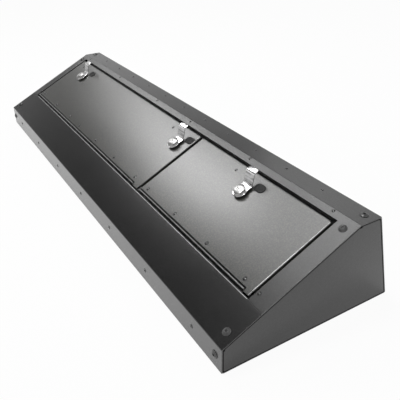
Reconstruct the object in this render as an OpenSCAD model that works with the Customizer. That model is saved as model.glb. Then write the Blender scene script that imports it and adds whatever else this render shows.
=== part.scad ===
// Under-seat lockbox: a long wedge-shaped sheet steel box with two hinged doors
// in its sloping lid and three quarter-turn key latches.
// X runs along the box, Y from the front to the back, Z up. The origin is the middle of the footprint.

/* [Box] */
// Length of the box
body_l = 1380; // [1280:10:1480]
// Depth of the box at the floor
body_d = 406; // [398:1:416]
// Height of the box at the back
body_h = 204; // [198:1:214]
// Height of the upright front face
front_h = 58; // [54:1:64]
// Width of the flat top behind the slope
top_w = 52; // [49:1:58]
// How far the back wall leans out at the floor
back_lean = 56; // [46:1:62]
// Thickness of the sheet steel
sheet_t = 2; // [1.6:0.1:2.2]
// Outside radius of the bends
bend_r = 3; // [2.6:0.1:3.4]

/* [Door opening] */
// Slope left beside the opening at the right end
margin_right = 43; // [40:1:56]
// Slope left beside the opening at the left end
margin_left = 35; // [34:1:56]
// Slope left below the opening
margin_low = 95; // [88:1:102]
// Slope left above the opening
strip_w = 17; // [16:1:22]
// Depth of the folded lip that carries the hinges
lip_d = 18; // [17:1:24]

/* [Doors] */
// Distance from the right end to the gap between the doors
divider_x = 510.5; // [490:0.5:530]
// Width of the gap between the doors
divider_gap = 9; // [7:0.5:12]
// Gap at the outer side of each door
door_gap_side = 6; // [4:0.5:8]
// Gap above the doors
door_gap_top = 7; // [5.5:0.5:9]
// Gap below the corners of the doors
door_gap_low = 3.5; // [3:0.1:4]
// Depth of the folded edges of a door
door_edge_d = 12; // [10.5:0.5:13]

/* [Hinges] */
// Distance from the lower edge of the opening to the hinge pin
hinge_off = 7; // [6.8:0.1:7.6]
// Depth of the hinge pin below the face of the door
hinge_sink = 1; // [0.6:0.1:1.4]
// Outside diameter of the hinge knuckles
knuckle_d = 7.5; // [7:0.1:7.8]
// Diameter of the hinge pin
hinge_pin_d = 4.4; // [3.8:0.1:4.6]
// Thickness of the hinge leaves
leaf_t = 1.5; // [1.2:0.1:1.6]
// Width of the door leaf, from the pin to its edge
leaf_w = 23; // [21:1:28]
// Length of one knuckle
knuckle_l = 25; // [20:1:32]
// Slack between two knuckles
knuckle_gap = 0.4; // [0.3:0.1:0.8]
// Distance from the pin to the hinge rivets
hinge_rivet_off = 15; // [14.5:0.5:16]
// Spacing of the hinge rivets
hinge_rivet_pitch = 133.5; // [100:0.5:134]
// Distance from the end of a hinge to its first rivet
hinge_rivet_inset = 17; // [14:1:24]
// Door left over beside the near end of the right hinge
hinge_near_right = 17; // [14:1:24]
// Door left over beside the far end of the right hinge
hinge_far_right = 6; // [5:1:12]
// Door left over beside the near end of the left hinge
hinge_near_left = 25; // [18:1:30]
// Door left over beside the far end of the left hinge
hinge_far_left = 9; // [5:1:14]

/* [Latches] */
// Distance from the right end to the latch of the right door
latch_right_x = 266; // [230:1:300]
// Distance from the right end to the near latch of the left door
latch_middle_x = 560.5; // [560:0.5:600]
// Distance from the left end to the far latch of the left door
latch_far_x = 147; // [146:1:180]
// Distance from the upper edge of a door to the latches
latch_drop = 60; // [56:1:64]
// Width of the lever strap
lever_w = 30; // [28:1:33]
// Diameter of the lever's round end
lever_eye_d = 34; // [33:1:36]
// Thickness of the lever strap
lever_t = 2; // [1.6:0.1:2.4]
// Flat of the lever, from the latch axis to its first bend
lever_flat = 23; // [21:1:26]
// Run of the sloping part of the lever
lever_run = 18; // [15:1:20]
// Height of the lever's finger tab above the door
lever_h = 30; // [26:1:34]
// Length of the finger tab
lever_tab = 13; // [12:1:15]
// Radius of the corners of the finger tab
lever_corner_r = 6; // [2:0.5:7]
// Diameter of the black bushing under the lever
bushing_d = 36; // [33:1:38]
// Height of the bushing above the door
bushing_h = 4.2; // [3.4:0.1:5]
// Diameter of the bushing's barrel through the door
barrel_d = 22; // [20:1:24]
// Diameter of the latch spindle
spindle_d = 12; // [10:0.5:13]
// Width across the flats of the lock head
head_af = 24; // [22:1:26]
// Height of the lock head above the lever
head_h = 8; // [6:0.5:10]
// Thickness of the tongue
tongue_t = 3; // [2.5:0.5:4]
// Width of the tongue
tongue_w = 20; // [16:1:22]

/* [Rubber pads] */
// Length of a pad
pad_l = 30; // [26:1:32]
// Width of a pad
pad_w = 20.5; // [18:0.5:22]
// Height of a pad above the door
pad_h = 2.5; // [1.5:0.1:2.6]
// Distance along the door from a latch to its pad
pad_off_x = 28; // [24:0.5:30]
// Distance up the door from a latch to its pad
pad_off_s = 32.5; // [32:0.5:35]

/* [Door frame] */
// Depth of the ledges below the face of the box
ledge_d = 16.3; // [16.3:0.1:18]
// Reach of the ledges in from the edge of the opening
ledge_reach = 19; // [17:1:21]
// Width of the foam seal
seal_w = 12; // [10:1:13]
// Slack between the seal and a closed door
seal_slack = 0.3; // [0.2:0.1:0.6]
// Width of the cross member between the doors
cross_w = 60; // [52:1:64]
// Depth of the sides of the cross member
cross_side = 24; // [16:1:30]
// Spacing of the rivets in the strip above the doors
ledge_pitch = 266; // [220:1:270]
// Distance from the end of the opening to the first rivet in the strip
ledge_rivet_inset = 23; // [20:1:40]

/* [Floor pan] */
// Height of the pan's front flange
pan_front = 44; // [40:1:46]
// Width of the pan's flange under the flat top
pan_top = 45; // [40:1:46]
// Diameter of the floor bolt holes
floor_hole_d = 11; // [9:0.5:13]
// Spacing of the floor bolt holes along the box
floor_hole_x = 1000; // [900:10:1100]
// Spacing of the floor bolt holes from front to back
floor_hole_y = 240; // [200:10:280]

/* [Fasteners] */
// Diameter of the rivets on the doors and the front
rivet_d = 4.8; // [4:0.1:5]
// Head diameter of those rivets
rivet_head_d = 9.5; // [8.5:0.1:10.5]
// Head height of those rivets
rivet_head_h = 1.6; // [1.2:0.1:1.8]
// Diameter of the rivets on the strip and the flat top
small_rivet_d = 4; // [3.2:0.1:4.4]
// Head diameter of those rivets
small_head_d = 7.6; // [6.8:0.1:8]
// Head height of those rivets
small_head_h = 1.3; // [1:0.1:1.5]
// Diameter of the end screws
screw_d = 8; // [6:0.5:8]
// Head diameter of the end screws
screw_head_d = 17; // [14:1:18]
// Head height of the end screws
screw_head_h = 3.6; // [2.8:0.1:4]
// Distance from the opening's edge out to the end screws
screw_out = 21; // [19:0.5:22]
// Distance up the slope to the lower end screws
screw_low = 27; // [24:1:40]
// Distance from the flat top down the slope to the upper end screws
screw_high = 25; // [22:1:40]
// Distance back from the slope to the screws and rivets in the flat top
top_row = 30; // [28:1:32]
// Height of the screws and rivets in the front face
front_row = 30; // [26:1:32]
// Spacing of the rivets in the flat top
top_pitch = 112; // [90:1:140]
// Spacing of the rivets in the front face
front_pitch = 196; // [150:1:220]
// Distance from the ends of the box to the front rivets
front_inset = 102; // [80:1:120]

/* [Hidden] */
$fn = 48;
over = 1; // overrun of every cut
fit = 0.05; // radial slack of pins, spindles and rivets in their holes
slack = 0.3; // gap between pieces that slide on each other
bend_steps = 6; // flats in a bend
steel_black = [0.16, 0.16, 0.17];
steel_inner = [0.2, 0.2, 0.21];
chrome = [0.86, 0.87, 0.88];
zinc = [0.66, 0.67, 0.66];
rubber = [0.07, 0.07, 0.07];

// Section of the box, in front-to-back and height
front_y = -body_d / 2;
back_y = body_d / 2;
slope_run = body_d - back_lean - top_w;
slope_rise = body_h - front_h;
slope_a = atan2(slope_rise, slope_run);
slope_l = norm([slope_run, slope_rise]);
lean_a = atan2(back_lean, body_h);
top_y = front_y + slope_run;
top_back_y = top_y + top_w;
end_x = body_l / 2;
section = [[front_y, 0], [back_y, 0], [top_back_y, body_h], [top_y, body_h], [front_y, front_h]];
cover_lift = 1.5; // gap under the cover's front face

// Opening and doors, in the plane of the slope
open_x1 = end_x - margin_right;
open_x0 = -end_x + margin_left;
open_s0 = margin_low;
open_s1 = slope_l - strip_w;
gap_x = end_x - divider_x;
right_x0 = gap_x + divider_gap / 2;
right_x1 = open_x1 - door_gap_side;
left_x0 = open_x0 + door_gap_side;
left_x1 = gap_x - divider_gap / 2;
door_s0 = open_s0 + door_gap_low;
door_s1 = open_s1 - door_gap_top;
flange_start = 15; // the folded sides of a door begin this far above the opening's edge

// Hinges
pin_s = open_s0 + hinge_off;
pin_n = -hinge_sink;
knuckle_r = knuckle_d / 2;
pin_r = hinge_pin_d / 2;
notch_slack = 1.25; // from the knuckles to the door's notched edge
notch_s = pin_s + knuckle_r + notch_slack;
leaf_slack = 0.45; // from the knuckles to the other leaf
hinge_right_x = [right_x0 + hinge_far_right, right_x1 - hinge_near_right];
hinge_left_x = [left_x0 + hinge_far_left, left_x1 - hinge_near_left];
row_count = 4; // hinge rivets in the near row

// Ledges, seals and cross member
web_gap = 1; // from the opening's edge to the ledges' upright walls
ledge_flange_w = 10; // width of a ledge's riveted flange
cap_clear = 1; // from the ledges' flanges to the end caps' flanges
side_rivet_out = 6.5; // from the opening's edge to the side ledges' rivets
side_rivet_up = 20; // from the lower edge of the opening up to them
strip_rivet_up = 12; // from the upper edge of the opening to the strip's rivets
strip_flange_end = 1.5; // the upper ledges' flange stops this far short of the top bend
ledge_low = 2.5; // the side ledges start this far above the lower edge of the opening
ledge_joint_x = (open_x0 + open_x1) / 2;
joint_gap = 1; // between the two upper ledges
seal_inset = 3; // from the edge of a ledge to its seal
cross_tab_w = 20; // width of the cross member's tab on the lip

// Latches
latch_s = door_s1 - latch_drop;
right_latch_x = end_x - latch_right_x;
middle_latch_x = end_x - latch_middle_x;
far_latch_x = -end_x + latch_far_x;
barrel_r = barrel_d / 2;
spindle_r = spindle_d / 2;
lever_under = bushing_h + slack;
lever_top = lever_under + lever_t;
lever_bend_r = 5;
tongue_clear = 2.2; // below the ledges
tongue_top = -ledge_d - sheet_t - tongue_clear;
tongue_l = latch_drop + door_gap_top - web_gap;
thread_r = spindle_r * 2 / 3;
thread_l = tongue_t + 8.5;
nut_af = thread_r * 3.25;
nut_h = 6.5;
ring_nut_af = barrel_d + 10;
ring_nut_h = 6;
key_ring_r = 3.6;
key_core_r = 2;
key_depth = 4;
head_chamfer = 1.5;
bushing_chamfer = 1;
stop_w = 18; // tongue stop
stop_x = -tongue_l;
stop_rivet_s = 37;
stop_over = 7; // of the stop's strap past its rivet
stop_leg = 1.5; // of the stop's leg past the tongue
pad_stem_r = 4;
pad_barb_r = 5.5;
pad_barb_h = 2;
pad_round = 1;

// Door stiffener
stiff_t = 1.5;
stiff_d = 10;
stiff_inset = 40;
stiff_room = latch_s - ring_nut_af / 2 / cos(30) - pin_s - leaf_w; // between the hinge leaf and the latch's nut
stiff_reach = [8, 11.5, 20]; // from the middle to the crown's edge, the bend and the flange's edge
stiff_s = pin_s + leaf_w + stiff_room / 2;

// Fasteners
bulb_h = 5; // blind end of a rivet
bulb_over = 0.8; // its extra radius
mandrel_share = 0.28; // of a rivet's head, taken by the mandrel's hole
socket_af = 5;
socket_depth = 2.4;
screw_nut_af = 13;
screw_nut_h = 6.5;
screw_tail = 2; // of a screw past its nut
cap_flange_right = margin_right - web_gap - ledge_flange_w - cap_clear;
cap_flange_left = margin_left - web_gap - ledge_flange_w - cap_clear;
screw_in_right = margin_right - screw_out;
screw_in_left = margin_left - screw_out;
back_row_shares = [0.3, 0.7]; // heights of the rivets in the back wall
relief_share = 1.2; // of the bend radius, cut from the corners of folded edges
lap_share = 2; // of the bend radius, from a folded edge to the end of its flat
panel_share = 1.5; // of the bend radius, from a folded edge to the panel that its flat laps

// Vectors and outlines
function unit(v) = v / norm(v);
function left(v) = [-v[1], v[0]];
function turned(v, a) = [v[0] * cos(a) - v[1] * sin(a), v[0] * sin(a) + v[1] * cos(a)];
function arc(c, r, a0, a1) = [for (k = [0 : bend_steps]) c + turned([r, 0], a0 + (a1 - a0) * k / bend_steps)];
function leg(p, i) = unit(p[i + 1] - p[i]);
function turn_at(p, i) = let(u = leg(p, i - 1), w = leg(p, i)) atan2(left(u) * w, u * w);

// Convex outline p, drawn counterclockwise, made smaller by d on every side
function inset(p, d) = let(n = len(p)) [for (i = [0 : n - 1])
  let(a = left(unit(p[i] - p[(i + n - 1) % n])), b = left(unit(p[(i + 1) % n] - p[i])))
  p[i] + d * (a + b) / (1 + a * b)];

// Open path p moved by d to its left
function beside(p, d) = let(m = len(p) - 1) [for (i = [0 : m])
  i == 0 ? p[0] + d * left(leg(p, 0)) :
  i == m ? p[m] + d * left(leg(p, m - 1)) :
  let(a = left(leg(p, i - 1)), b = left(leg(p, i))) p[i] + d * (a + b) / (1 + a * b)];

// Arc of radius r in place of corner i
function bend(p, i, r) = let(a = turn_at(p, i), u = leg(p, i - 1),
  start = p[i] - r * tan(abs(a) / 2) * u,
  c = start + sign(a) * r * left(u))
  [for (k = [0 : bend_steps]) c + turned(start - c, a * k / bend_steps)];

// Outline of a bent sheet: one face follows path p, the other lies t to its left
function bent(p, t, r) = let(m = len(p) - 1, q = beside(p, t))
  concat([p[0]], [for (i = [1 : 1 : m - 1]) each bend(p, i, turn_at(p, i) > 0 ? r : r - t)], [p[m], q[m]],
    [for (i = [m - 1 : -1 : 1]) let(b = bend(q, i, turn_at(q, i) > 0 ? r - t : r)) each
      [for (k = [len(b) - 1 : -1 : 0]) b[k]]], [q[0]]);

// Section of a folded edge: a flat that laps over the panel, a quarter bend and a flange that reaches down to w
function fold(t, r, w) = concat([[lap_share * r, 0]], arc([r, -r], r, 90, 180), [[0, -w], [t, -w]],
  arc([r, -r], r - t, 180, 90), [[lap_share * r, -t]]);

// Places
module on_slope() translate([0, front_y, front_h]) rotate([slope_a, 0, 0]) children();
module on_top() translate([0, top_y, body_h]) children();
module on_front() translate([0, front_y, 0]) rotate([90, 0, 0]) children();
module on_back() translate([0, back_y, 0]) rotate([lean_a, 0, 0]) rotate([90, 0, 180]) children();

// A section drawn in the second and third axes, extruded along X from x0 to x1
module along_x(x0, x1) translate([x0, 0, 0]) rotate([90, 0, 90]) linear_extrude(x1 - x0) children();
// A section drawn in the first and third axes, extruded along Y from y0 to y1
module along_y(y0, y1) translate([0, y1, 0]) rotate([90, 0, 0]) linear_extrude(y1 - y0) children();
// Folded edge of a panel that lies in the XY plane with its face at zero, along X from x0 to x1
module folded_edge(x0, x1, w) along_x(x0, x1) polygon(fold(sheet_t, bend_r, w));
module span(lo, hi) translate(lo) cube(hi - lo);
module hex(af, h) rotate([0, 0, 30]) cylinder(r = af / 2 / cos(30), h = h, $fn = 6);
module hole(r, deep) translate([0, 0, -deep - over]) cylinder(r = r, h = deep + 2 * over);

// Where the fasteners go
end_sides = [1, -1];
function cap_flange(side) = side > 0 ? cap_flange_right : cap_flange_left;
function screw_x(side) = side > 0 ? end_x - screw_in_right : -end_x + screw_in_left;
function evenly(a, b, n) = [for (k = [0 : n - 1]) a + (b - a) * k / (n - 1)];
top_gaps = round((screw_x(1) - screw_x(-1)) / top_pitch);
top_xs = [for (k = [1 : top_gaps - 1]) screw_x(1) + (screw_x(-1) - screw_x(1)) * k / top_gaps];
front_xs = evenly(end_x - front_inset, -end_x + front_inset,
  round((body_l - 2 * front_inset) / front_pitch) + 1);
strip_xs = concat([for (k = [0 : 2]) open_x1 - ledge_rivet_inset - k * ledge_pitch],
  [for (k = [0 : 2]) open_x0 + ledge_rivet_inset + k * ledge_pitch]);
side_xs = [open_x1 + side_rivet_out, open_x0 - side_rivet_out];
function row_pitch(x) = min(hinge_rivet_pitch, (x[1] - x[0] - 2 * hinge_rivet_inset) / (row_count - 1));
function far_count(x) = round((x[1] - x[0] - 2 * hinge_rivet_inset) / row_pitch(x)) - (row_count - 1);
function hinge_xs(x) = concat(
  [for (k = [0 : row_count - 1]) x[1] - hinge_rivet_inset - k * row_pitch(x)],
  [for (k = [0 : 1 : far_count(x) - 1]) x[0] + hinge_rivet_inset + k * row_pitch(x)]);

module at_strip() on_slope() for (x = strip_xs) translate([x, open_s1 + strip_rivet_up, 0]) children();
module at_sides() on_slope() for (x = side_xs) translate([x, open_s0 + side_rivet_up, 0]) children();
module at_top_row() on_top() for (x = top_xs) translate([x, top_row, 0]) children();
module at_front_row() on_front() for (x = front_xs) translate([x, front_row, 0]) children();
module at_back(side) on_back() for (z = back_row_shares)
  translate([-screw_x(side), z * body_h / cos(lean_a), 0]) children();
module at_screws(side) {
  on_slope() translate([screw_x(side), screw_low, 0]) children();
  on_slope() translate([screw_x(side), slope_l - screw_high, 0]) children();
  on_top() translate([screw_x(side), top_row, 0]) children();
  on_front() translate([screw_x(side), front_row, 0]) children();
}
module at_hinge_rivets(x) on_slope() for (k = hinge_xs(x)) translate([k, pin_s + hinge_rivet_off, 0]) children();
module at_latch(x) on_slope() translate([x, latch_s, 0]) children();
module at_stop_rivet(x) at_latch(x) translate([stop_x, stop_rivet_s, 0]) children();

// Fasteners
module dome(d, h) intersection() {
  cylinder(d = d, h = h);
  translate([0, 0, h - (d * d / 4 + h * h) / (2 * h)]) sphere(r = (d * d / 4 + h * h) / (2 * h));
}
module blind_rivet(d, head_d, head_h, grip) {
  difference() {
    union() {
      dome(head_d, head_h);
      translate([0, 0, -grip]) cylinder(d = d, h = grip);
      translate([0, 0, -grip - bulb_h]) cylinder(r = d / 2 + bulb_over, h = bulb_h);
    }
    translate([0, 0, head_h / 3]) cylinder(d = head_d * mandrel_share, h = head_h);
  }
}
module end_screw() {
  reach = 2 * sheet_t + screw_nut_h + screw_tail;
  difference() {
    union() {
      dome(screw_head_d, screw_head_h);
      translate([0, 0, -reach]) cylinder(d = screw_d, h = reach);
    }
    translate([0, 0, screw_head_h - socket_depth]) hex(socket_af, socket_depth + over);
  }
}
module end_nut() translate([0, 0, -2 * sheet_t - screw_nut_h]) difference() {
  hex(screw_nut_af, screw_nut_h);
  translate([0, 0, -over]) cylinder(r = screw_d / 2 + fit, h = screw_nut_h + 2 * over);
}

// Box
cover_path = [[front_y, cover_lift], [front_y, front_h], [top_y, body_h], [top_back_y, body_h]];
function reversed(p) = [for (k = [len(p) - 1 : -1 : 0]) p[k]];

module top_cover() color(steel_black) difference() {
  union() {
    difference() {
      along_x(-end_x, end_x) polygon(bent(reversed(cover_path), sheet_t, bend_r));
      on_slope() span([open_x0, open_s0 - panel_share * bend_r, -sheet_t - over], [open_x1, open_s1, over]);
    }
    on_slope() translate([0, open_s0, 0]) rotate([0, 0, 180])
      folded_edge(-open_x1 + web_gap, -open_x0 - web_gap, lip_d);
  }
  at_strip() hole(small_rivet_d / 2 + fit, sheet_t);
  at_sides() hole(rivet_d / 2 + fit, sheet_t);
  at_top_row() hole(small_rivet_d / 2 + fit, sheet_t);
  at_front_row() hole(rivet_d / 2 + fit, sheet_t);
  for (side = end_sides) at_screws(side) hole(screw_d / 2 + fit, sheet_t);
}

pan_top_y = top_back_y + back_lean * sheet_t / body_h;
pan_path = [[front_y + sheet_t, pan_front], [front_y + sheet_t, 0], [back_y, 0],
  [pan_top_y, body_h - sheet_t], [top_back_y - pan_top, body_h - sheet_t]];

module pan_end_cut(side) {
  x0 = side > 0 ? end_x - cap_flange(side) - cap_clear : -end_x - over;
  x1 = side > 0 ? end_x + over : -end_x + cap_flange(side) + cap_clear;
  span([x0, front_y, bend_r], [x1, front_y + sheet_t + bend_r, body_h]);
  span([x0, top_back_y - pan_top - over, body_h - sheet_t - bend_r], [x1, pan_top_y - bend_r, body_h]);
}

module floor_pan() color(steel_inner) difference() {
  along_x(-end_x, end_x) polygon(bent(pan_path, sheet_t, bend_r));
  for (side = end_sides) {
    pan_end_cut(side);
    at_back(side) hole(rivet_d / 2 + fit, sheet_t);
  }
  at_top_row() hole(small_rivet_d / 2 + fit, 2 * sheet_t);
  at_front_row() hole(rivet_d / 2 + fit, 2 * sheet_t);
  for (x = end_sides, y = end_sides) translate([x * floor_hole_x / 2, y * floor_hole_y / 2, sheet_t])
    hole(floor_hole_d / 2, sheet_t);
}

// Drawn with the outer face at zero and the inside of the box below it
module cap_tray(flange_w) {
  edge = inset(section, sheet_t);
  face = inset(section, sheet_t + panel_share * bend_r);
  relief = relief_share * bend_r;
  translate([0, 0, -sheet_t]) linear_extrude(sheet_t) polygon(face);
  for (i = [0 : len(edge) - 1]) {
    step = edge[(i + 1) % len(edge)] - edge[i];
    translate(edge[i]) rotate([0, 0, atan2(step[1], step[0])])
      folded_edge(relief, norm(step) - relief, flange_w);
  }
}

module end_cap(side) difference() {
  mirror([side > 0 ? 0 : 1, 0, 0]) translate([end_x, 0, 0]) rotate([90, 0, 90]) cap_tray(cap_flange(side));
  at_screws(side) hole(screw_d / 2 + fit, 2 * sheet_t);
  at_back(side) hole(rivet_d / 2 + fit, 2 * sheet_t);
}
module end_cap_right() color(steel_black) end_cap(1);
module end_cap_left() color(steel_black) end_cap(-1);

// Door frame
shelf_s = open_s1 - ledge_reach;
upper_path = [[slope_l - strip_flange_end, -sheet_t], [open_s1 + web_gap, -sheet_t],
  [open_s1 + web_gap, -ledge_d], [shelf_s, -ledge_d]];
module upper_ledge(x0, x1) difference() {
  on_slope() along_x(x0, x1) polygon(bent(upper_path, sheet_t, bend_r));
  at_strip() hole(small_rivet_d / 2 + fit, 2 * sheet_t);
}
module upper_ledge_right() color(steel_inner) upper_ledge(ledge_joint_x + joint_gap / 2, open_x1);
module upper_ledge_left() color(steel_inner) upper_ledge(open_x0, ledge_joint_x - joint_gap / 2);

// Section of a side ledge, from the flange under the margin in to the shelf
side_path = [[web_gap + ledge_flange_w, -sheet_t], [web_gap, -sheet_t], [web_gap, -ledge_d], [-ledge_reach, -ledge_d]];
module side_ledge(x, side) difference() {
  on_slope() translate([x, 0, 0]) mirror([side > 0 ? 0 : 1, 0, 0])
    along_y(open_s0 + ledge_low, shelf_s) polygon(bent(side_path, sheet_t, bend_r));
  at_sides() hole(rivet_d / 2 + fit, 2 * sheet_t);
}
module side_ledge_right() color(steel_inner) side_ledge(open_x1, 1);
module side_ledge_left() color(steel_inner) side_ledge(open_x0, -1);

cross_path = [[cross_w / 2, -ledge_d - cross_side], [cross_w / 2, -ledge_d],
  [-cross_w / 2, -ledge_d], [-cross_w / 2, -ledge_d - cross_side]];
module cross_member() color(steel_inner) on_slope() translate([gap_x, 0, 0]) {
  along_y(open_s0 + ledge_low, shelf_s) polygon(bent(cross_path, sheet_t, bend_r));
  span([-cross_tab_w / 2, open_s0, -ledge_d - sheet_t], [cross_tab_w / 2, open_s0 + ledge_low, -ledge_d]);
}

// Foam strips on the shelves; the doors' folded edges meet them
seal_top = -door_edge_d - seal_slack;
module seal_strip(x0, x1, s0, s1) on_slope() span([x0, s0, -ledge_d], [x1, s1, seal_top]);
seal_s1 = shelf_s + seal_inset + seal_w;
module seal(x0, x1, side_x) {
  seal_strip(x0, x1, shelf_s + seal_inset, seal_s1);
  seal_strip(side_x, side_x + seal_w, open_s0 + flange_start, shelf_s + seal_inset - joint_gap);
}
seal_side_off = ledge_reach - seal_inset;
module seal_right_door() color(rubber) seal(gap_x, open_x1, open_x1 - seal_side_off);
module seal_left_door() color(rubber) seal(open_x0, gap_x - joint_gap, open_x0 + seal_side_off - seal_w);
module cross_seal() color(rubber) seal_strip(gap_x - divider_gap / 2 - seal_w, gap_x + divider_gap / 2 + seal_w,
  open_s0 + flange_start, shelf_s + seal_inset - joint_gap);

// Box fasteners
module ledge_rivets() color(steel_black) {
  at_strip() blind_rivet(small_rivet_d, small_head_d, small_head_h, 2 * sheet_t);
  at_sides() blind_rivet(rivet_d, rivet_head_d, rivet_head_h, 2 * sheet_t);
}
module top_rivets() color(steel_black) at_top_row()
  blind_rivet(small_rivet_d, small_head_d, small_head_h, 2 * sheet_t);
module front_rivets() color(steel_black) at_front_row()
  blind_rivet(rivet_d, rivet_head_d, rivet_head_h, 2 * sheet_t);
module back_rivets() color(steel_black) for (side = end_sides) at_back(side)
  blind_rivet(rivet_d, rivet_head_d, rivet_head_h, 2 * sheet_t);
module end_screws_right() color(steel_black) at_screws(1) end_screw();
module end_screws_left() color(steel_black) at_screws(-1) end_screw();
module end_nuts_right() color(zinc) at_screws(1) end_nut();
module end_nuts_left() color(zinc) at_screws(-1) end_nut();

// Piano hinges: the frame leaf has the first and last knuckle
function knuckle_count(x) = 2 * round((x[1] - x[0]) / knuckle_l / 2) + 1;
function knuckle_step(x) = (x[1] - x[0]) / knuckle_count(x);
module at_knuckles(x, first) for (k = [first : 2 : knuckle_count(x) - 1])
  translate([x[0] + k * knuckle_step(x), 0, 0]) children();
module on_pin() on_slope() translate([0, pin_s, pin_n]) children();
module knuckle_bore(x) along_x(x[0] - over, x[1] + over) circle(r = pin_r + fit);
module knuckle(x) along_x(knuckle_gap / 2, knuckle_step(x) - knuckle_gap / 2) circle(r = knuckle_r);

module frame_leaf(x) color(steel_black) on_pin() difference() {
  union() {
    span([x[0], -hinge_off, -lip_d + sheet_t - pin_n], [x[1], -hinge_off + leaf_t, -knuckle_r + leaf_t]);
    at_knuckles(x, 0) {
      knuckle(x);
      span([knuckle_gap / 2, -hinge_off, -knuckle_r], [knuckle_step(x) - knuckle_gap / 2, 0, -knuckle_r + leaf_t]);
    }
  }
  knuckle_bore(x);
}
module door_leaf(x) color(steel_black) difference() {
  on_pin() union() {
    span([x[0], knuckle_r + leaf_slack, -sheet_t - leaf_t - pin_n], [x[1], leaf_w, -sheet_t - pin_n]);
    at_knuckles(x, 1) {
      knuckle(x);
      span([knuckle_gap / 2, 0, -sheet_t - leaf_t - pin_n],
        [knuckle_step(x) - knuckle_gap / 2, knuckle_r + leaf_slack, -sheet_t - pin_n]);
    }
  }
  on_pin() knuckle_bore(x);
  at_hinge_rivets(x) hole(rivet_d / 2 + fit, sheet_t + leaf_t);
}
module hinge_pin(x) color(zinc) on_pin() along_x(x[0], x[1]) circle(r = pin_r);
module frame_leaf_right() frame_leaf(hinge_right_x);
module frame_leaf_left() frame_leaf(hinge_left_x);
module door_leaf_right() door_leaf(hinge_right_x);
module door_leaf_left() door_leaf(hinge_left_x);
module hinge_pin_right() hinge_pin(hinge_right_x);
module hinge_pin_left() hinge_pin(hinge_left_x);

// Doors: a panel with three folded edges and a notch for the hinge
module door_sheet(x0, x1, hinge) on_slope() {
  relief = relief_share * bend_r;
  lap = panel_share * bend_r;
  side_low = open_s0 + flange_start;
  difference() {
    union() {
      span([x0 + lap, door_s0, -sheet_t], [x1 - lap, door_s1 - lap, 0]);
      span([x0, door_s0, -sheet_t], [x1, side_low - web_gap, 0]);
    }
    span([hinge[0] - web_gap, door_s0 - over, -sheet_t - over], [hinge[1] + web_gap, notch_s, over]);
  }
  translate([0, door_s1, 0]) rotate([0, 0, 180]) folded_edge(-x1 + relief, -x0 - relief, door_edge_d);
  translate([x0, 0, 0]) rotate([0, 0, -90]) folded_edge(-door_s1 + relief, -side_low, door_edge_d);
  translate([x1, 0, 0]) rotate([0, 0, 90]) folded_edge(side_low, door_s1 - relief, door_edge_d);
}
module latch_holes(x) {
  at_latch(x) hole(barrel_r + fit, sheet_t);
  at_latch(x) translate([pad_off_x, pad_off_s, 0]) hole(pad_stem_r + fit, sheet_t);
  at_stop_rivet(x) hole(small_rivet_d / 2 + fit, sheet_t);
}
module door(x0, x1, hinge, latches) color(steel_black) difference() {
  door_sheet(x0, x1, hinge);
  at_hinge_rivets(hinge) hole(rivet_d / 2 + fit, sheet_t);
  for (x = latches) latch_holes(x);
}
module door_right() door(right_x0, right_x1, hinge_right_x, [right_latch_x]);
module door_left() door(left_x0, left_x1, hinge_left_x, [middle_latch_x, far_latch_x]);

module door_rivets(hinge, latches) color(steel_black) {
  at_hinge_rivets(hinge) blind_rivet(rivet_d, rivet_head_d, rivet_head_h, sheet_t + leaf_t);
  for (x = latches) at_stop_rivet(x) blind_rivet(small_rivet_d, small_head_d, small_head_h, 2 * sheet_t);
}
module door_rivets_right() door_rivets(hinge_right_x, [right_latch_x]);
module door_rivets_left() door_rivets(hinge_left_x, [middle_latch_x, far_latch_x]);

stiff_path = [[stiff_reach[2], -sheet_t], [stiff_reach[1], -sheet_t], [stiff_reach[0], -sheet_t - stiff_d],
  [-stiff_reach[0], -sheet_t - stiff_d], [-stiff_reach[1], -sheet_t], [-stiff_reach[2], -sheet_t]];
module door_stiffener(x0, x1) color(steel_inner) on_slope() translate([0, stiff_s, 0])
  along_x(x0 + stiff_inset, x1 - stiff_inset) polygon(bent(stiff_path, stiff_t, bend_r));
module door_stiffener_right() door_stiffener(right_x0, right_x1);
module door_stiffener_left() door_stiffener(left_x0, left_x1);

// Latch pieces that stay with the door
module bushing(x) color(rubber) at_latch(x) difference() {
  union() {
    cylinder(d = bushing_d, h = bushing_h - bushing_chamfer);
    translate([0, 0, bushing_h - bushing_chamfer])
      cylinder(d1 = bushing_d, d2 = bushing_d - 2 * bushing_chamfer, h = bushing_chamfer);
    translate([0, 0, tongue_top + slack]) cylinder(r = barrel_r, h = -tongue_top - slack);
  }
  translate([0, 0, bushing_h]) hole(spindle_r + fit, bushing_h - tongue_top);
}
module bushing_nut(x) color(zinc) at_latch(x) translate([0, 0, -sheet_t - ring_nut_h]) difference() {
  hex(ring_nut_af, ring_nut_h);
  translate([0, 0, ring_nut_h]) hole(barrel_r + fit, ring_nut_h);
}
module pad_outline(grow) {
  r = pad_w / 2 + grow;
  half = (pad_l - pad_w) / 2;
  for (side = end_sides) translate([side * half, 0]) circle(r = r);
  translate([-half, -r]) square([2 * half, 2 * r]);
}
module pad(x) color(rubber) at_latch(x) translate([pad_off_x, pad_off_s, 0]) {
  linear_extrude(pad_h - pad_round) pad_outline(0);
  linear_extrude(pad_h) pad_outline(-pad_round);
  translate([0, 0, -sheet_t]) cylinder(r = pad_stem_r, h = sheet_t);
  translate([0, 0, -sheet_t - pad_barb_h]) cylinder(r = pad_barb_r, h = pad_barb_h);
}
stop_path = [[stop_rivet_s + stop_over, -sheet_t], [-tongue_w / 2 - slack - sheet_t, -sheet_t],
  [-tongue_w / 2 - slack - sheet_t, tongue_top - tongue_t - stop_leg]];
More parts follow.
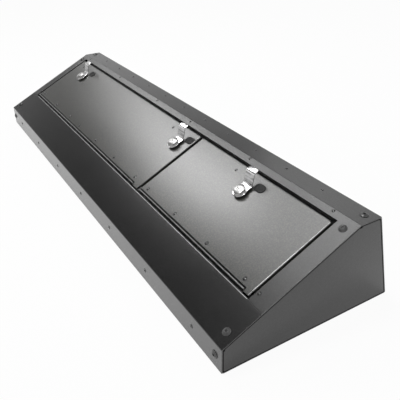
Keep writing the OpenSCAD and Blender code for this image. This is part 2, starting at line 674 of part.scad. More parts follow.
module tongue_stop(x) color(zinc) difference() {
  at_latch(x) along_x(stop_x - stop_w / 2, stop_x + stop_w / 2) polygon(bent(stop_path, sheet_t, bend_r));
  at_stop_rivet(x) hole(small_rivet_d / 2 + fit, 2 * sheet_t);
}

// Latch pieces that turn together, drawn with the latch open
lever_end = lever_flat + lever_run + lever_tab;
lever_path = [[lever_end, lever_h], [lever_flat + lever_run, lever_h], [lever_flat, lever_top],
  [-lever_eye_d, lever_top]];
module lever_plan() {
  half = lever_w / 2;
  circle(d = lever_eye_d);
  translate([-half, 0]) square([lever_w, lever_end - lever_corner_r]);
  for (side = end_sides) translate([side * (half - lever_corner_r), lever_end - lever_corner_r])
    circle(r = lever_corner_r);
  translate([-half + lever_corner_r, 0]) square([lever_w - 2 * lever_corner_r, lever_end]);
}
module lever(x) color(chrome) at_latch(x) difference() {
  intersection() {
    along_x(-lever_eye_d, lever_eye_d) polygon(bent(lever_path, lever_t, lever_bend_r));
    linear_extrude(lever_h + over) lever_plan();
  }
  translate([0, 0, lever_top]) hole(spindle_r + fit, lever_t);
}
module lock_spindle(x) color(chrome) at_latch(x) difference() {
  union() {
    translate([0, 0, lever_top]) intersection() {
      hex(head_af, head_h);
      cylinder(r1 = head_af / 2 + head_h - head_chamfer, r2 = head_af / 2 - head_chamfer / 2, h = head_h);
    }
    translate([0, 0, tongue_top]) cylinder(r = spindle_r, h = lever_top - tongue_top);
    translate([0, 0, tongue_top - thread_l]) cylinder(r = thread_r, h = thread_l);
  }
  translate([0, 0, lever_top + head_h - key_depth]) difference() {
    cylinder(r = key_ring_r, h = key_depth + over);
    cylinder(r = key_core_r, h = key_depth + over);
  }
}
module tongue(x) color(zinc) at_latch(x) translate([0, 0, tongue_top - tongue_t]) difference() {
  union() {
    cylinder(d = tongue_w, h = tongue_t);
    span([-tongue_l, -tongue_w / 2, 0], [0, tongue_w / 2, tongue_t]);
  }
  translate([0, 0, tongue_t]) hole(thread_r + fit, tongue_t);
}
module tongue_nut(x) color(zinc) at_latch(x) translate([0, 0, tongue_top - tongue_t - nut_h]) difference() {
  hex(nut_af, nut_h);
  translate([0, 0, nut_h]) hole(thread_r + fit, nut_h);
}

top_cover();
floor_pan();
end_cap_right();
end_cap_left();
upper_ledge_right();
upper_ledge_left();
side_ledge_right();
side_ledge_left();
cross_member();
seal_right_door();
seal_left_door();
cross_seal();
ledge_rivets();
top_rivets();
front_rivets();
back_rivets();
end_screws_right();
end_screws_left();
end_nuts_right();
end_nuts_left();
frame_leaf_right();
frame_leaf_left();
hinge_pin_right();
hinge_pin_left();
door_right();
door_leaf_right();
door_rivets_right();
door_stiffener_right();
bushing(right_latch_x);  // bushing_right
bushing_nut(right_latch_x);  // bushing_nut_right
pad(right_latch_x);  // pad_right
tongue_stop(right_latch_x);  // tongue_stop_right
door_left();
door_leaf_left();
door_rivets_left();
door_stiffener_left();
bushing(middle_latch_x);  // bushing_middle
bushing_nut(middle_latch_x);  // bushing_nut_middle
pad(middle_latch_x);  // pad_middle
tongue_stop(middle_latch_x);  // tongue_stop_middle
bushing(far_latch_x);  // bushing_far
bushing_nut(far_latch_x);  // bushing_nut_far
pad(far_latch_x);  // pad_far
tongue_stop(far_latch_x);  // tongue_stop_far
lever(right_latch_x);  // lever_right
lock_spindle(right_latch_x);  // lock_spindle_right
tongue(right_latch_x);  // tongue_right
tongue_nut(right_latch_x);  // tongue_nut_right
lever(middle_latch_x);  // lever_middle
lock_spindle(middle_latch_x);  // lock_spindle_middle
tongue(middle_latch_x);  // tongue_middle
tongue_nut(middle_latch_x);  // tongue_nut_middle
lever(far_latch_x);  // lever_far
lock_spindle(far_latch_x);  // lock_spindle_far
tongue(far_latch_x);  // tongue_far
tongue_nut(far_latch_x);  // tongue_nut_far
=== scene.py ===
# %% [markdown]
# # Under-seat lockbox
# A long wedge-shaped box of folded sheet steel, with two hinged doors in its sloping lid and three
# quarter-turn key latches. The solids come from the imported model, already in place and in metres.
# This script dresses them: it gives every solid a finish, and builds finer surfaces for the pieces
# that a plain solid can't show well, such as the bent levers, the lock heads, the rivets and the foam.

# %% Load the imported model
import bpy
import bmesh
import math
import numpy as np
from mathutils import Matrix


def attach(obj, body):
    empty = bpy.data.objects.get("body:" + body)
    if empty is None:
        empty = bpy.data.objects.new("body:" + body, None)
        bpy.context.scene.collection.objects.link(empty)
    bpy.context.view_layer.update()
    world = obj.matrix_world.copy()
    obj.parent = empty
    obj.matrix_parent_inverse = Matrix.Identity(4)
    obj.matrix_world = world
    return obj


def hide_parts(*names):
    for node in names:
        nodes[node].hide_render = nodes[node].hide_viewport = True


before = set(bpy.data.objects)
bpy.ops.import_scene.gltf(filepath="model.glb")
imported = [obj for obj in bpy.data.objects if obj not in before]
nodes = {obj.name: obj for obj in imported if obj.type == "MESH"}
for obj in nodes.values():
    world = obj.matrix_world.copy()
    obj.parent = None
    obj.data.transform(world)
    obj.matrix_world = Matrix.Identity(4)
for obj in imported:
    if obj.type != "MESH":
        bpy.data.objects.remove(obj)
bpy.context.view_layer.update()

# %% [markdown]
# ## Where things are
# The lid slopes up from the front face to the flat top, and most small pieces stand on it. It helps
# to have a second set of axes for it: x along the box, s up the slope and n straight out of it. A
# point (x, s, n) then turns into box axes by one sum. The slope starts at the top edge of the front
# face, and its angle follows from how far the lid runs back and rises.

# %% Axes of the slope, the flat top, the front and the back wall
MM = 0.001
LENGTH, DEPTH, HEIGHT = 1380 * MM, 406 * MM, 204 * MM
FRONT_HEIGHT, TOP_WIDTH, BACK_LEAN = 58 * MM, 52 * MM, 56 * MM
FRONT = -DEPTH / 2
SLOPE_RUN, SLOPE_RISE = DEPTH - BACK_LEAN - TOP_WIDTH, HEIGHT - FRONT_HEIGHT
SLOPE_LENGTH = math.hypot(SLOPE_RUN, SLOPE_RISE)
SLOPE_TURN = math.atan2(SLOPE_RISE, SLOPE_RUN)
LEAN_TURN = math.atan2(BACK_LEAN, HEIGHT)


class Axes:
    """A place with its own axes: along the box, up the face, and out of it."""

    def __init__(self, origin, along, up):
        self.origin = np.array(origin, float)
        along, up = np.array(along, float), np.array(up, float)
        self.rows = np.stack([along, up, np.cross(along, up)])

    def __call__(self, points):
        """Origin plus each number times its axis."""
        return self.origin + np.asarray(points, float) @ self.rows


slope = Axes((0, FRONT, FRONT_HEIGHT), (1, 0, 0), (0, math.cos(SLOPE_TURN), math.sin(SLOPE_TURN)))
top = Axes((0, FRONT + SLOPE_RUN, HEIGHT), (1, 0, 0), (0, 1, 0))
front = Axes((0, FRONT, 0), (1, 0, 0), (0, 0, 1))
back = Axes((0, DEPTH / 2, 0), (-1, 0, 0), (0, -math.sin(LEAN_TURN), math.cos(LEAN_TURN)))
print("slope", round(math.degrees(SLOPE_TURN), 2), "degrees,", round(SLOPE_LENGTH, 4), "m long")

# %% [markdown]
# ## Camera
# The camera comes first, so that every later look is taken from the right place. It stands to the
# right of the box, in front of it and above it. A camera looks along its own -Z, with X to the right
# and Y up, so its turn is a matrix with those three directions as columns.

# %% The camera
CAMERA_PLACE = (1.2129, -0.5498, 0.7231)
CAMERA_LOOK, CAMERA_RIGHT = (-0.7407, 0.4390, -0.5086), (0.51806, 0.85517, -0.01634)
LENS, SENSOR = 47.01, 36  # millimetres, as on a real camera

camera = bpy.data.objects.new("camera", bpy.data.cameras.new("camera"))
bpy.context.scene.collection.objects.link(camera)
camera.data.sensor_width, camera.data.lens = SENSOR, LENS
look, right = (np.array(way) / np.linalg.norm(way) for way in (CAMERA_LOOK, CAMERA_RIGHT))
up = np.cross(right, look)
turn = Matrix(np.stack([np.cross(look, up), up, -look], 1).tolist())
camera.matrix_world = Matrix.Translation(CAMERA_PLACE) @ turn.to_4x4()
camera.data.clip_start, camera.data.clip_end = 0.05, 40
bpy.context.scene.camera = camera
bpy.context.scene.view_settings.view_transform = "Standard"
print("camera", [round(x, 3) for x in camera.location])

# %% [markdown]
# ## Materials from nodes
# A material is a small graph. The helpers below add one node each and return its output, so that a
# finish reads as a short recipe. Patterns are read from Object coordinates, which are metres in box
# axes here because every object sits at the origin.

# %% Helpers for node recipes
class Graph:
    """A node tree, with one short call for each kind of node. Each call returns the node's output."""

    def __init__(self, tree):
        self.tree = tree

    def add(self, kind, links=None, **settings):
        """Adds a node, sets its fields, then fills its sockets with values or with other outputs."""
        node = self.tree.nodes.new(kind)
        for field, value in settings.items():
            setattr(node, field, value)
        for socket, value in (links or {}).items():
            target = node.inputs[socket]
            if isinstance(value, bpy.types.NodeSocket):
                self.tree.links.new(value, target)
            else:
                target.default_value = value
        return node

    def math(self, operation, a, b=0.0):
        """One sum on two numbers."""
        return self.add("ShaderNodeMath", {0: a, 1: b}, operation=operation).outputs[0]

    def ramp(self, value, low, high, to_low=0.0, to_high=1.0):
        """Carries low..high to to_low..to_high, smoothly and held at both ends."""
        return self.add("ShaderNodeMapRange", {"Value": value, "From Min": low, "From Max": high,
                                               "To Min": to_low, "To Max": to_high},
                        interpolation_type="SMOOTHSTEP").outputs[0]

    def rays(self, *kinds):
        """1 for rays of these kinds, 0 for all others."""
        path = self.add("ShaderNodeLightPath")
        total = path.outputs[kinds[0]]
        for kind in kinds[1:]:
            total = self.math("MAXIMUM", total, path.outputs[kind])
        return total


class Recipe(Graph):
    """One material's graph, with its Principled shader."""

    def __init__(self, name, **settings):
        self.material = bpy.data.materials.new(name)
        self.material.use_nodes = True
        super().__init__(self.material.node_tree)
        self.shader = self.tree.nodes["Principled BSDF"]
        for socket, value in settings.items():
            self.shader.inputs[socket.replace("_", " ")].default_value = value
        self.place = self.add("ShaderNodeTexCoord").outputs["Object"]

    def noise(self, scale, detail=2.0, rough=0.5, stretch=None):
        """Cloudy pattern from 0 to 1 with blotches about 1/scale metres across."""
        place = self.place
        if stretch:
            place = self.add("ShaderNodeMapping", {"Vector": place, "Scale": stretch}).outputs[0]
        return self.add("ShaderNodeTexNoise", {"Vector": place, "Scale": scale, "Detail": detail,
                                               "Roughness": rough}).outputs[0]

    def cells(self, scale):
        """Distance to the nearest of many scattered points, 1/scale metres apart."""
        return self.add("ShaderNodeTexVoronoi", {"Vector": self.place, "Scale": scale}).outputs[0]

    def mix(self, share, a, b):
        """Colour a where share is 0, colour b where it is 1."""
        return self.add("ShaderNodeMix", {0: share, 6: a, 7: b}, data_type="RGBA").outputs[2]

    def dot(self, first, second):
        """First times second, axis by axis, all three added up."""
        return self.add("ShaderNodeVectorMath", {0: first, 1: second},
                        operation="DOT_PRODUCT").outputs["Value"]

    def softened(self, radius):
        """The shading direction, rounded over a radius at each edge."""
        return self.add("ShaderNodeBevel", {"Radius": radius}, samples=6).outputs[0]

    def bump(self, height, distance, strength, radius=None):
        """Tilts the surface by the height pattern, distance metres from its lowest to its highest.
        With a radius, the edges are softened too."""
        links = {"Height": height, "Distance": distance, "Strength": strength}
        if radius:
            links["Normal"] = self.softened(radius)
        return self.add("ShaderNodeBump", links).outputs[0]

    def edges(self, radius):
        """How close a point lies to an outer edge: 0 on a flat, up to 1 on the edge. The softened
        shading direction leaves the true one only near an edge."""
        true = self.add("ShaderNodeNewGeometry").outputs["True Normal"]
        return self.ramp(self.dot(self.softened(radius), true), 0.985, 0.85)

    def inside(self, axes, middle, half, soft=(0.3 * MM,) * 3):
        """1 in a box that lies along the axes of a face, 0 outside it: a product of three ramps, each
        on the distance from the box's middle along one axis, and as wide as soft says."""
        share = 1.0
        for row, spot, reach, wide in zip(axes.rows, axes(middle) @ axes.rows.T, half, soft):
            far = self.math("SUBTRACT", self.dot(self.place, tuple(row)), float(spot))
            near = self.ramp(self.math("ABSOLUTE", far), reach + wide / 2, reach - wide / 2)
            share = self.math("MULTIPLY", near, share)
        return share

    def set(self, **sockets):
        """Links patterns to the shader's own sockets and returns the material."""
        for socket, value in sockets.items():
            self.tree.links.new(value, self.shader.inputs[socket.replace("_", " ")])
        return self.material


def grey(level, tint=(1.0, 1.0, 1.0)):
    """A colour of one brightness, slightly tinted."""
    return tuple(level * t for t in tint) + (1.0,)


COOL, COOLER, WARM = (1.0, 1.0, 1.02), (0.97, 1.0, 1.05), (1.0, 0.99, 0.97)

# %% [markdown]
# ## Black powder coat
# The sheet steel is sprayed with powder and baked. The melted powder leaves a fine orange peel, two to
# three millimetres from dimple to dimple, under a skin with a satin gloss. So the colour is nearly
# black, with tiny paler specks, and most of the look comes from a small bump, a medium roughness and
# the clear skin, whose share wavers from dimple to dimple. Faint handling marks and a film of dust
# change the roughness in large soft clouds, and the coat is thin and greyer on the bends.
#
# The doors have the brightest and most speckled coat, a lit copy of the box's coat with painted light
# for the brighter doors, the end plates a plainer one, and the hinges hardly any, a darker shaded copy
# with painted shade on the knuckles. Use leaves its marks where hands and goods rub: the lower slope is
# rubbed smooth, so it mirrors less of the lamps. Thin pale lines along one door's edge, the lip and the
# knuckles' tops are worn paint and a painted highlight in one.

# %% Powder coat, with its worn and rubbed places
PEEL, PEEL_DEPTH = 330, 0.13 * MM  # dimples to a metre, and how deep they are
THINNER_SKIN, NARROWER = 0.3, 0.07  # share of the clear skin left, and roughness lost, where rubbed


def powder_coat(name, gloss, roughness, shade, speck, clear=0.89, worn=None, rubbed=None):
    """Nearly black paint with an orange peel bump, specks, clouded roughness, dust and greyer edges.
    In the box worn it has a broken pale line of a given tone and share of bare metal,
    worn paint and a painted highlight in one. In the box rubbed its clear skin is thinner and its gloss
    narrower. Both boxes lie along the slope's axes."""
    coat = Recipe(name, Specular_IOR_Level=gloss, Coat_Roughness=0.21)
    clouds = coat.noise(7, detail=4, rough=0.55)
    handling = coat.noise(34, detail=5, rough=0.6, stretch=(0.5, 1.0, 1.0))
    spots = coat.ramp(coat.cells(420), 0.10, 0.05)
    dust = coat.math("MULTIPLY", spots, coat.ramp(coat.noise(60, detail=1), 0.60, 0.68))
    thin = coat.ramp(coat.noise(90, detail=3), 0.45, 0.62, 0.15, 0.8)
    paint = coat.mix(clouds, grey(shade * 0.82, COOL), grey(shade * 1.2, WARM))
    paint = coat.mix(coat.ramp(coat.noise(340, detail=3, rough=0.75), 0.42, 0.66), paint, speck)
    paint = coat.mix(coat.math("MULTIPLY", dust, 0.5), paint, grey(0.16))
    paint = coat.mix(coat.math("MULTIPLY", coat.edges(1.2 * MM), thin), paint, grey(0.11))
    rough = coat.math("ADD", coat.ramp(clouds, 0.3, 0.7, roughness - 0.008, roughness + 0.008),
                      coat.ramp(handling, 0.3, 0.75, -0.004, 0.006))
    grain = coat.math("MULTIPLY", coat.noise(1500, detail=1.5), 0.30)
    height = coat.math("ADD", coat.noise(PEEL, detail=3.5, rough=0.62), grain)
    normal = coat.bump(height, PEEL_DEPTH, 0.8, radius=0.7 * MM)
    shine = coat.ramp(coat.noise(310, detail=3, rough=0.7), 0.34, 0.66, clear * 0.88, clear * 1.12)
    if rubbed:
        share = coat.inside(slope, **rubbed)
        shine = coat.math("MULTIPLY", shine, coat.ramp(share, 0.0, 1.0, 1.0, THINNER_SKIN))
        rough = coat.math("SUBTRACT", rough, coat.math("MULTIPLY", share, NARROWER))
    # The pale line is worn paint and a painted highlight: a lighter grey, part metal, where the lamps
    # glint.
    if worn:
        broken = coat.ramp(coat.noise(55, detail=4, rough=0.7), 0.3, 0.5, 0.5, 1.0)
        line = coat.math("MULTIPLY", broken, coat.inside(slope, worn["middle"], worn["half"]))
        coat.set(Metallic=coat.math("MULTIPLY", line, worn["metal"]))
        paint = coat.mix(line, paint, grey(worn["tone"]))
    return coat.set(Base_Color=paint, Roughness=rough, Normal=normal, Coat_Normal=normal,
                    Coat_Weight=shine)


half_slope = SLOPE_LENGTH / 2
# Pale lines, worn paint and painted highlights at once: along the lip, the right door's edge and the
# knuckles' tops.
lip_wear_and_highlight = {"middle": (4 * MM, 93.2 * MM, 0), "half": (640 * MM, 0.9 * MM, 5 * MM),
            "tone": 0.42, "metal": 0.2}
edge_wear_and_highlight = {"middle": (639.1 * MM, half_slope, 0), "half": (0.8 * MM, half_slope, 1.3 * MM),
             "tone": 0.35, "metal": 0.45}
knuckles_wear_and_highlight = {"middle": (0, 101.6 * MM, 3 * MM), "half": (LENGTH / 2, 1.1 * MM, 1.5 * MM),
                 "tone": 0.26, "metal": 0.4}
slope_rubbed = {"middle": (0, 36 * MM, 0), "half": (LENGTH / 2, 56 * MM, 2 * MM),
                "soft": (1 * MM, 16 * MM, 2 * MM)}
box_coat = powder_coat("black_powder_coat_box", gloss=0.66, roughness=0.30, shade=0.006,
                       speck=grey(0.018), worn=lip_wear_and_highlight, rubbed=slope_rubbed)
# The doors' coat is a lit copy of the box's: lighter paint and more gloss, painted light for the
# brighter doors.
door_coat_lit = powder_coat("black_powder_coat_doors", gloss=1.0, roughness=0.30, shade=0.010,
                        speck=grey(0.055, (1.0, 1.01, 0.78)), worn=edge_wear_and_highlight)
end_coat = powder_coat("black_powder_coat_ends", gloss=0.48, roughness=0.32, shade=0.006,
                       speck=grey(0.018), clear=0.8)
# The hinges' coat is a shaded copy: darker paint and little gloss, painted shade on the knuckles'
# sides.
hinge_coat_shaded = powder_coat("black_powder_coat_hinges", gloss=0.10, roughness=0.35, shade=0.002,
                         speck=grey(0.004), clear=0.1, worn=knuckles_wear_and_highlight)
print("powder coats", box_coat.name, door_coat_lit.name, end_coat.name, hinge_coat_shaded.name)

# %% [markdown]
# ## Bright, satin and black metal
# The levers are polished and chromed, so they mirror the room, with fine hair scratches and a few
# fingermarks. The part that rises is rougher and streaked, and painted a darker grey as painted shade
# for its tilt. The lock heads are cast, tumbled and nickelled: satin and slightly cloudy, with tiny
# pits painted dark as painted shade. Rivets and screws are oiled black steel, whose edges rub brighter.
# The pieces inside are zinc plated: dull, with a blue and yellow cast in patches and a visible
# spangle. All are one Principled shader each, and only the patterns differ.

# %% Chrome and zinc
RISE_LOW, RISE_HIGH = (7 * MM, 9.5 * MM), (28 * MM, 26 * MM)


def chrome_plate():
    """Bright plating with hair scratches and faint smudges. The risen part of a lever, known by its
    height over the slope, is rougher, streaked along x and painted a darker grey: painted shade."""
    plate = Recipe("chrome_plate", Metallic=1.0)
    out = slope.rows[2]
    rise = plate.math("SUBTRACT", plate.dot(plate.place, tuple(out)), float(slope.origin @ out))
    # Painted shade: the risen part's mask, streaked along x, darkens its tone and raises its roughness.
    dull = plate.math("MULTIPLY", plate.ramp(rise, *RISE_LOW), plate.ramp(rise, *RISE_HIGH))
    streak = plate.noise(260, detail=3, stretch=(0.12, 1.0, 1.0))
    dull = plate.math("MULTIPLY", dull, plate.ramp(streak, 0.38, 0.62, 0.55, 1.0))
    smudge = plate.noise(120, detail=4, rough=0.6)
    hair = plate.noise(900, detail=2, stretch=(1.0, 0.06, 0.06))
    tone = plate.mix(plate.ramp(smudge, 0.35, 0.75), grey(0.80, (1.0, 1.0, 1.01)), grey(0.66, WARM))
    # Painted shade on the risen part: a darker grey.
    tone = plate.mix(dull, tone, grey(0.27))
    rough = plate.math("ADD", plate.ramp(smudge, 0.4, 0.8, 0.06, 0.16),
                       plate.ramp(hair, 0.55, 0.8, 0.0, 0.10))
    rough = plate.math("ADD", rough, plate.math("MULTIPLY", dull, 0.12))
    return plate.set(Base_Color=tone, Roughness=rough,
                     Normal=plate.bump(hair, 0.02 * MM, 0.35, radius=0.5 * MM))


def zinc_plate():
    """Dull zinc with a blue and yellow cast in patches, a spangle and a brushed grain."""
    plate = Recipe("zinc_plate", Metallic=1.0)
    spangle, patches = plate.cells(260), plate.noise(40, detail=3)
    grain = plate.noise(1400, detail=2, stretch=(0.08, 1.0, 1.0))
    tone = plate.mix(plate.ramp(patches, 0.35, 0.7), grey(0.46, COOLER), grey(0.50, (1.06, 1.0, 0.86)))
    tone = plate.mix(plate.ramp(spangle, 0.2, 0.9, 0.0, 0.35), tone, grey(0.30))
    rough = plate.math("ADD", plate.ramp(spangle, 0.1, 0.9, 0.30, 0.45),
                       plate.ramp(grain, 0.4, 0.8, 0.0, 0.12))
    return plate.set(Base_Color=tone, Roughness=rough,
                     Normal=plate.bump(grain, 0.04 * MM, 0.5, radius=0.4 * MM))


# %% Satin nickel and black oxide
def satin_nickel():
    """Soft gloss, a cloudy tone and tiny casting pits painted dark, painted shade in each pit."""
    plate = Recipe("satin_nickel", Metallic=1.0)
    cloud = plate.noise(230, detail=3)
    # Painted shade: each tiny pit is painted dark.
    shaded_pits = plate.ramp(plate.cells(1500), 0.18, 0.08)
    tone = plate.mix(plate.ramp(cloud, 0.35, 0.7), grey(0.66, WARM), grey(0.50))
    tone = plate.mix(plate.math("MULTIPLY", shaded_pits, 0.5), tone, grey(0.12))
    return plate.set(Base_Color=tone, Roughness=plate.ramp(cloud, 0.35, 0.7, 0.28, 0.36),
                     Normal=plate.bump(cloud, 0.06 * MM, 0.4, radius=0.4 * MM))


def black_oxide(name, tone, smooth, rough, rubbed):
    """Oiled black steel in a cloudy tone, between two roughnesses, with its edges rubbed brighter."""
    plate = Recipe(name, Specular_IOR_Level=1.0)
    cloud = plate.noise(500, detail=3)
    black = plate.mix(plate.ramp(cloud, 0.4, 0.7), grey(tone), grey(2.2 * tone))
    black = plate.mix(plate.math("MULTIPLY", plate.edges(0.8 * MM), 0.6), black, grey(rubbed))
    return plate.set(Base_Color=black, Roughness=plate.ramp(cloud, 0.35, 0.7, smooth, rough),
                     Normal=plate.bump(cloud, 0.05 * MM, 0.5, radius=0.4 * MM))


chrome, zinc, nickel = chrome_plate(), zinc_plate(), satin_nickel()
black_screw = black_oxide("black_oxide_screws", tone=0.020, smooth=0.30, rough=0.38, rubbed=0.22)
black_rivet = black_oxide("black_oxide_rivets", tone=0.004, smooth=0.10, rough=0.16, rubbed=0.35)
print("metals", chrome.name, zinc.name, nickel.name, black_screw.name, black_rivet.name)

# %% [markdown]
# ## Plastic, rubber, foam and a painted seam shade
# The bushings are moulded black nylon with a fine spark-eroded grain. The oval pads are soft black
# rubber with a dusty bloom. The seals are grey-black cellular foam, full of small open cells, whose
# pits are painted dark as painted shade. The dark bead round the end plates is painted shade in the
# groove there, with low ripples.

# %% Nylon, rubber, foam and the painted seam shade
def nylon():
    """Moulded black nylon: fine even grain, satin."""
    stuff = Recipe("black_nylon", Specular_IOR_Level=0.4)
    wear = stuff.noise(150, detail=3)
    tone = stuff.mix(stuff.ramp(wear, 0.4, 0.7), grey(0.016), grey(0.028))
    return stuff.set(Base_Color=tone, Roughness=stuff.ramp(wear, 0.35, 0.7, 0.38, 0.5),
                     Normal=stuff.bump(stuff.noise(1500, detail=2), 0.05 * MM, 0.5))


def rubber():
    """Soft black rubber with a pale bloom in patches and a matt skin."""
    stuff = Recipe("black_rubber", Specular_IOR_Level=0.25)
    bloom = stuff.noise(180, detail=4, rough=0.65)
    tone = stuff.mix(stuff.ramp(bloom, 0.4, 0.7), grey(0.028), grey(0.060))
    return stuff.set(Base_Color=tone, Roughness=stuff.ramp(bloom, 0.4, 0.75, 0.50, 0.7),
                     Normal=stuff.bump(stuff.noise(2200, detail=2), 0.08 * MM, 0.6))


def cell_foam():
    """Black cellular foam: each open cell painted dark, painted shade in its pit, matt walls between
    them.
    """
    stuff = Recipe("cell_foam", Specular_IOR_Level=0.15, Roughness=0.92)
    fine, large = stuff.ramp(stuff.cells(900), 0.15, 0.6), stuff.ramp(stuff.cells(380), 0.1, 0.45)
    # Painted shade: each open cell is painted dark.
    shaded_pits = stuff.math("MINIMUM", fine, large)
    tone = stuff.mix(shaded_pits, grey(0.010), grey(0.045, (1.0, 1.0, 1.03)))
    return stuff.set(Base_Color=tone, Normal=stuff.bump(shaded_pits, 0.4 * MM, 0.8))


def seam_sealant():
    """A near black matt bead put in the end seams as painted shade, with long low ripples and dust
    caught in it.
    """
    stuff = Recipe("seam_sealant", Specular_IOR_Level=0.1)
    ripple = stuff.noise(120, detail=3)
    dust = stuff.ramp(stuff.noise(900, detail=2), 0.55, 0.75)
    tone = stuff.mix(stuff.math("MULTIPLY", dust, 0.5), grey(0.006), grey(0.03))
    return stuff.set(Base_Color=tone, Roughness=stuff.ramp(ripple, 0.3, 0.7, 0.7, 0.9),
                     Normal=stuff.bump(ripple, 0.3 * MM, 0.5))


black_nylon, black_rubber, foam, seam_shade = nylon(), rubber(), cell_foam(), seam_sealant()
print("soft finishes", black_nylon.name, black_rubber.name, foam.name, seam_shade.name)

# %% [markdown]
# ## A finish for every solid
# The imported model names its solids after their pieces, so the start of a name is enough to tell its
# finish. The table is read from the top, and what no other line claims is part of the box.

# %% Give every solid its finish
FINISHES = [("bushing_nut", zinc), ("bushing", black_nylon), ("pad", black_rubber), ("seal", foam),
            ("cross_seal", foam), ("tongue", zinc), ("end_nuts", zinc), ("hinge_pin", zinc),
            ("lever", chrome), ("lock_spindle", nickel), ("end_screws", black_screw),
            ("end_cap", end_coat), ("door", door_coat_lit), ("", box_coat)]
for name, node in nodes.items():
    finish = next(f for start, f in FINISHES if name.startswith(start))
    node.data.materials.clear()
    node.data.materials.append(finish)
print("finished", len(nodes), "solids")

# %% [markdown]
# ## Surfaces from numbers
# Every new piece below is a grid of points worked out with whole arrays, then joined to its neighbours
# by four-sided faces. Three ways cover them all: a section carried along a line, a profile turned
# about an axis, and a strap whose half width changes along its length. Corners are arcs rather than
# sharp turns, because real bends and cut edges are never sharp and it is the small rounds that catch
# the light.

# %% Helpers for lines and sections
def unit(rows):
    """Each row divided by its length."""
    return rows / np.linalg.norm(rows, axis=-1, keepdims=True)


def rounded(points, radius, steps=5, closed=True):
    """Each corner of a flat line becomes an arc that touches both its sides. The arc's centre lies on
    the corner's middle line, radius / sin(half the corner) away, and its points turn evenly."""
    points = np.asarray(points, float)
    to_last, to_next = unit(np.roll(points, 1, 0) - points), unit(np.roll(points, -1, 0) - points)
    half = 0.5 * np.arccos(np.clip(np.sum(to_last * to_next, 1), -1, 1))
    radius = np.broadcast_to(radius, len(points))
    reach = (radius / np.tan(half))[:, None]
    centre = points + unit(to_last + to_next) * (radius / np.sin(half))[:, None]
    start, end = points + to_last * reach - centre, points + to_next * reach - centre
    turn = (math.pi - 2 * half)[:, None]
    share = np.linspace(0, 1, steps + 1)[:, None, None]
    arcs = (np.sin((1 - share) * turn) * start + np.sin(share * turn) * end) / np.sin(turn) + centre
    arcs = arcs.transpose(1, 0, 2)
    if closed:
        return arcs.reshape(-1, 2)
    return np.vstack([points[:1], arcs[1:-1].reshape(-1, 2), points[-1:]])


def beside(path, distance):
    """Open line moved to its left: a corner moves along the sum of its two left directions, divided by
    1 + their dot product, which keeps the distance on both sides."""
    leg = unit(np.diff(path, axis=0))
    left = np.stack([-leg[:, 1], leg[:, 0]], 1)
    before, after = np.vstack([left[:1], left]), np.vstack([left, left[-1:]])
    return path + distance * (before + after) / (1 + np.sum(before * after, 1))[:, None]


def shrink(outline, distance):
    """Closed line moved inwards, each point square to the line through its two neighbours."""
    step = unit(np.roll(outline, -1, 0) - np.roll(outline, 1, 0))
    x, y = outline.T
    area = np.sum(x * np.roll(y, -1) - y * np.roll(x, -1))
    inwards = np.stack([-step[:, 1], step[:, 0]], 1) * np.sign(area)
    return outline + np.asarray(distance)[..., None, None] * inwards


def carried(outline, start, end, edge=0.3 * MM, rows=4):
    """A closed section carried along x: rows of (x, section). At each end the section shrinks by
    edge * (1 - cos) while x moves in by edge * (1 - sin), which rounds the end."""
    outline = outline[np.linalg.norm(outline - np.roll(outline, 1, 0), axis=1) > 1e-7]
    turn = np.linspace(math.pi / 2, 0, rows)
    inset, back = edge * (1 - np.cos(turn)), edge * (1 - np.sin(turn))
    place = np.concatenate([start + back, end - back[::-1]])
    section = shrink(outline, np.concatenate([inset, inset[::-1]]))
    x = np.broadcast_to(place[:, None, None], section.shape[:2] + (1,))
    return np.concatenate([x, section], 2)


# %% Helpers for turned and hexagonal pieces
def turned(profile, sides=24, shape=None):
    """A profile of (radius, height) turned about n: x = r cos(a), s = r sin(a), n = height. A shape
    gives the largest radius at each angle, for pieces with flats."""
    radius, height = np.asarray(profile, float).T
    angle = 2 * math.pi * np.arange(sides) / sides
    radius = np.repeat(radius[:, None], sides, 1)
    if shape is not None:
        limit = np.broadcast_to(shape(angle), radius.shape)
        radius = (np.maximum(radius, 1e-9) ** -60 + limit ** -60) ** (-1 / 60) * (radius > 1e-7)
    return np.stack([radius * np.cos(angle), radius * np.sin(angle),
                     np.repeat(height[:, None], sides, 1)], -1)


def hexagon(flats, power=70):
    """Radius of a hexagon with slightly rounded corners: half the flats over the power mean of the
    cosines towards its six sides."""
    sides = math.radians(60) * np.arange(6)[:, None]

    def radius(angle):
        towards = np.maximum(np.cos(angle - sides), 0) ** power
        return flats / 2 / np.sum(towards, 0) ** (1 / power)
    return radius


def thread(points, start, end, pitch, depth):
    """Cuts a thread between two heights: the radius shrinks by up to depth where the height, less the
    angle's share of the pitch, falls between two crests."""
    x, s, n = np.moveaxis(points, -1, 0)
    wave = np.abs(((n / pitch - np.arctan2(s, x) / (2 * math.pi)) % 1) * 2 - 1)
    fade = np.clip((n - start) / pitch, 0, 1) * np.clip((end - n) / pitch, 0, 1)
    radius = np.hypot(x, s)
    scale = 1 - depth * wave * fade / np.maximum(radius, 1e-9)
    return np.stack([x * scale, s * scale, n], -1)


# %% Helpers that make an object
def skin(points, wrap=(False, False), lids=False):
    """Four-sided faces between neighbouring points of one or more grids (..., rows, columns, 3). A
    wrapped side joins its last line to its first, and lids close the first and last rows."""
    rows, columns = points.shape[-3:-1]
    flat = points.reshape(-1, 3)
    start = (np.arange(len(flat) // (rows * columns)) * rows * columns)[:, None, None]
    row, column = np.arange(rows - (not wrap[0]))[:, None], np.arange(columns - (not wrap[1]))
    below, beyond = (row + 1) % rows, (column + 1) % columns
    quads = np.stack([row * columns + column, below * columns + column, below * columns + beyond,
                      row * columns + beyond], -1).reshape(-1, 4)
    faces = [(start + quads).reshape(-1, 4)]
    if lids:
        ring = np.arange(columns)
        ends = np.stack([ring[::-1], (rows - 1) * columns + ring])
        faces.append((start + ends).reshape(-1, columns))
    return flat, faces


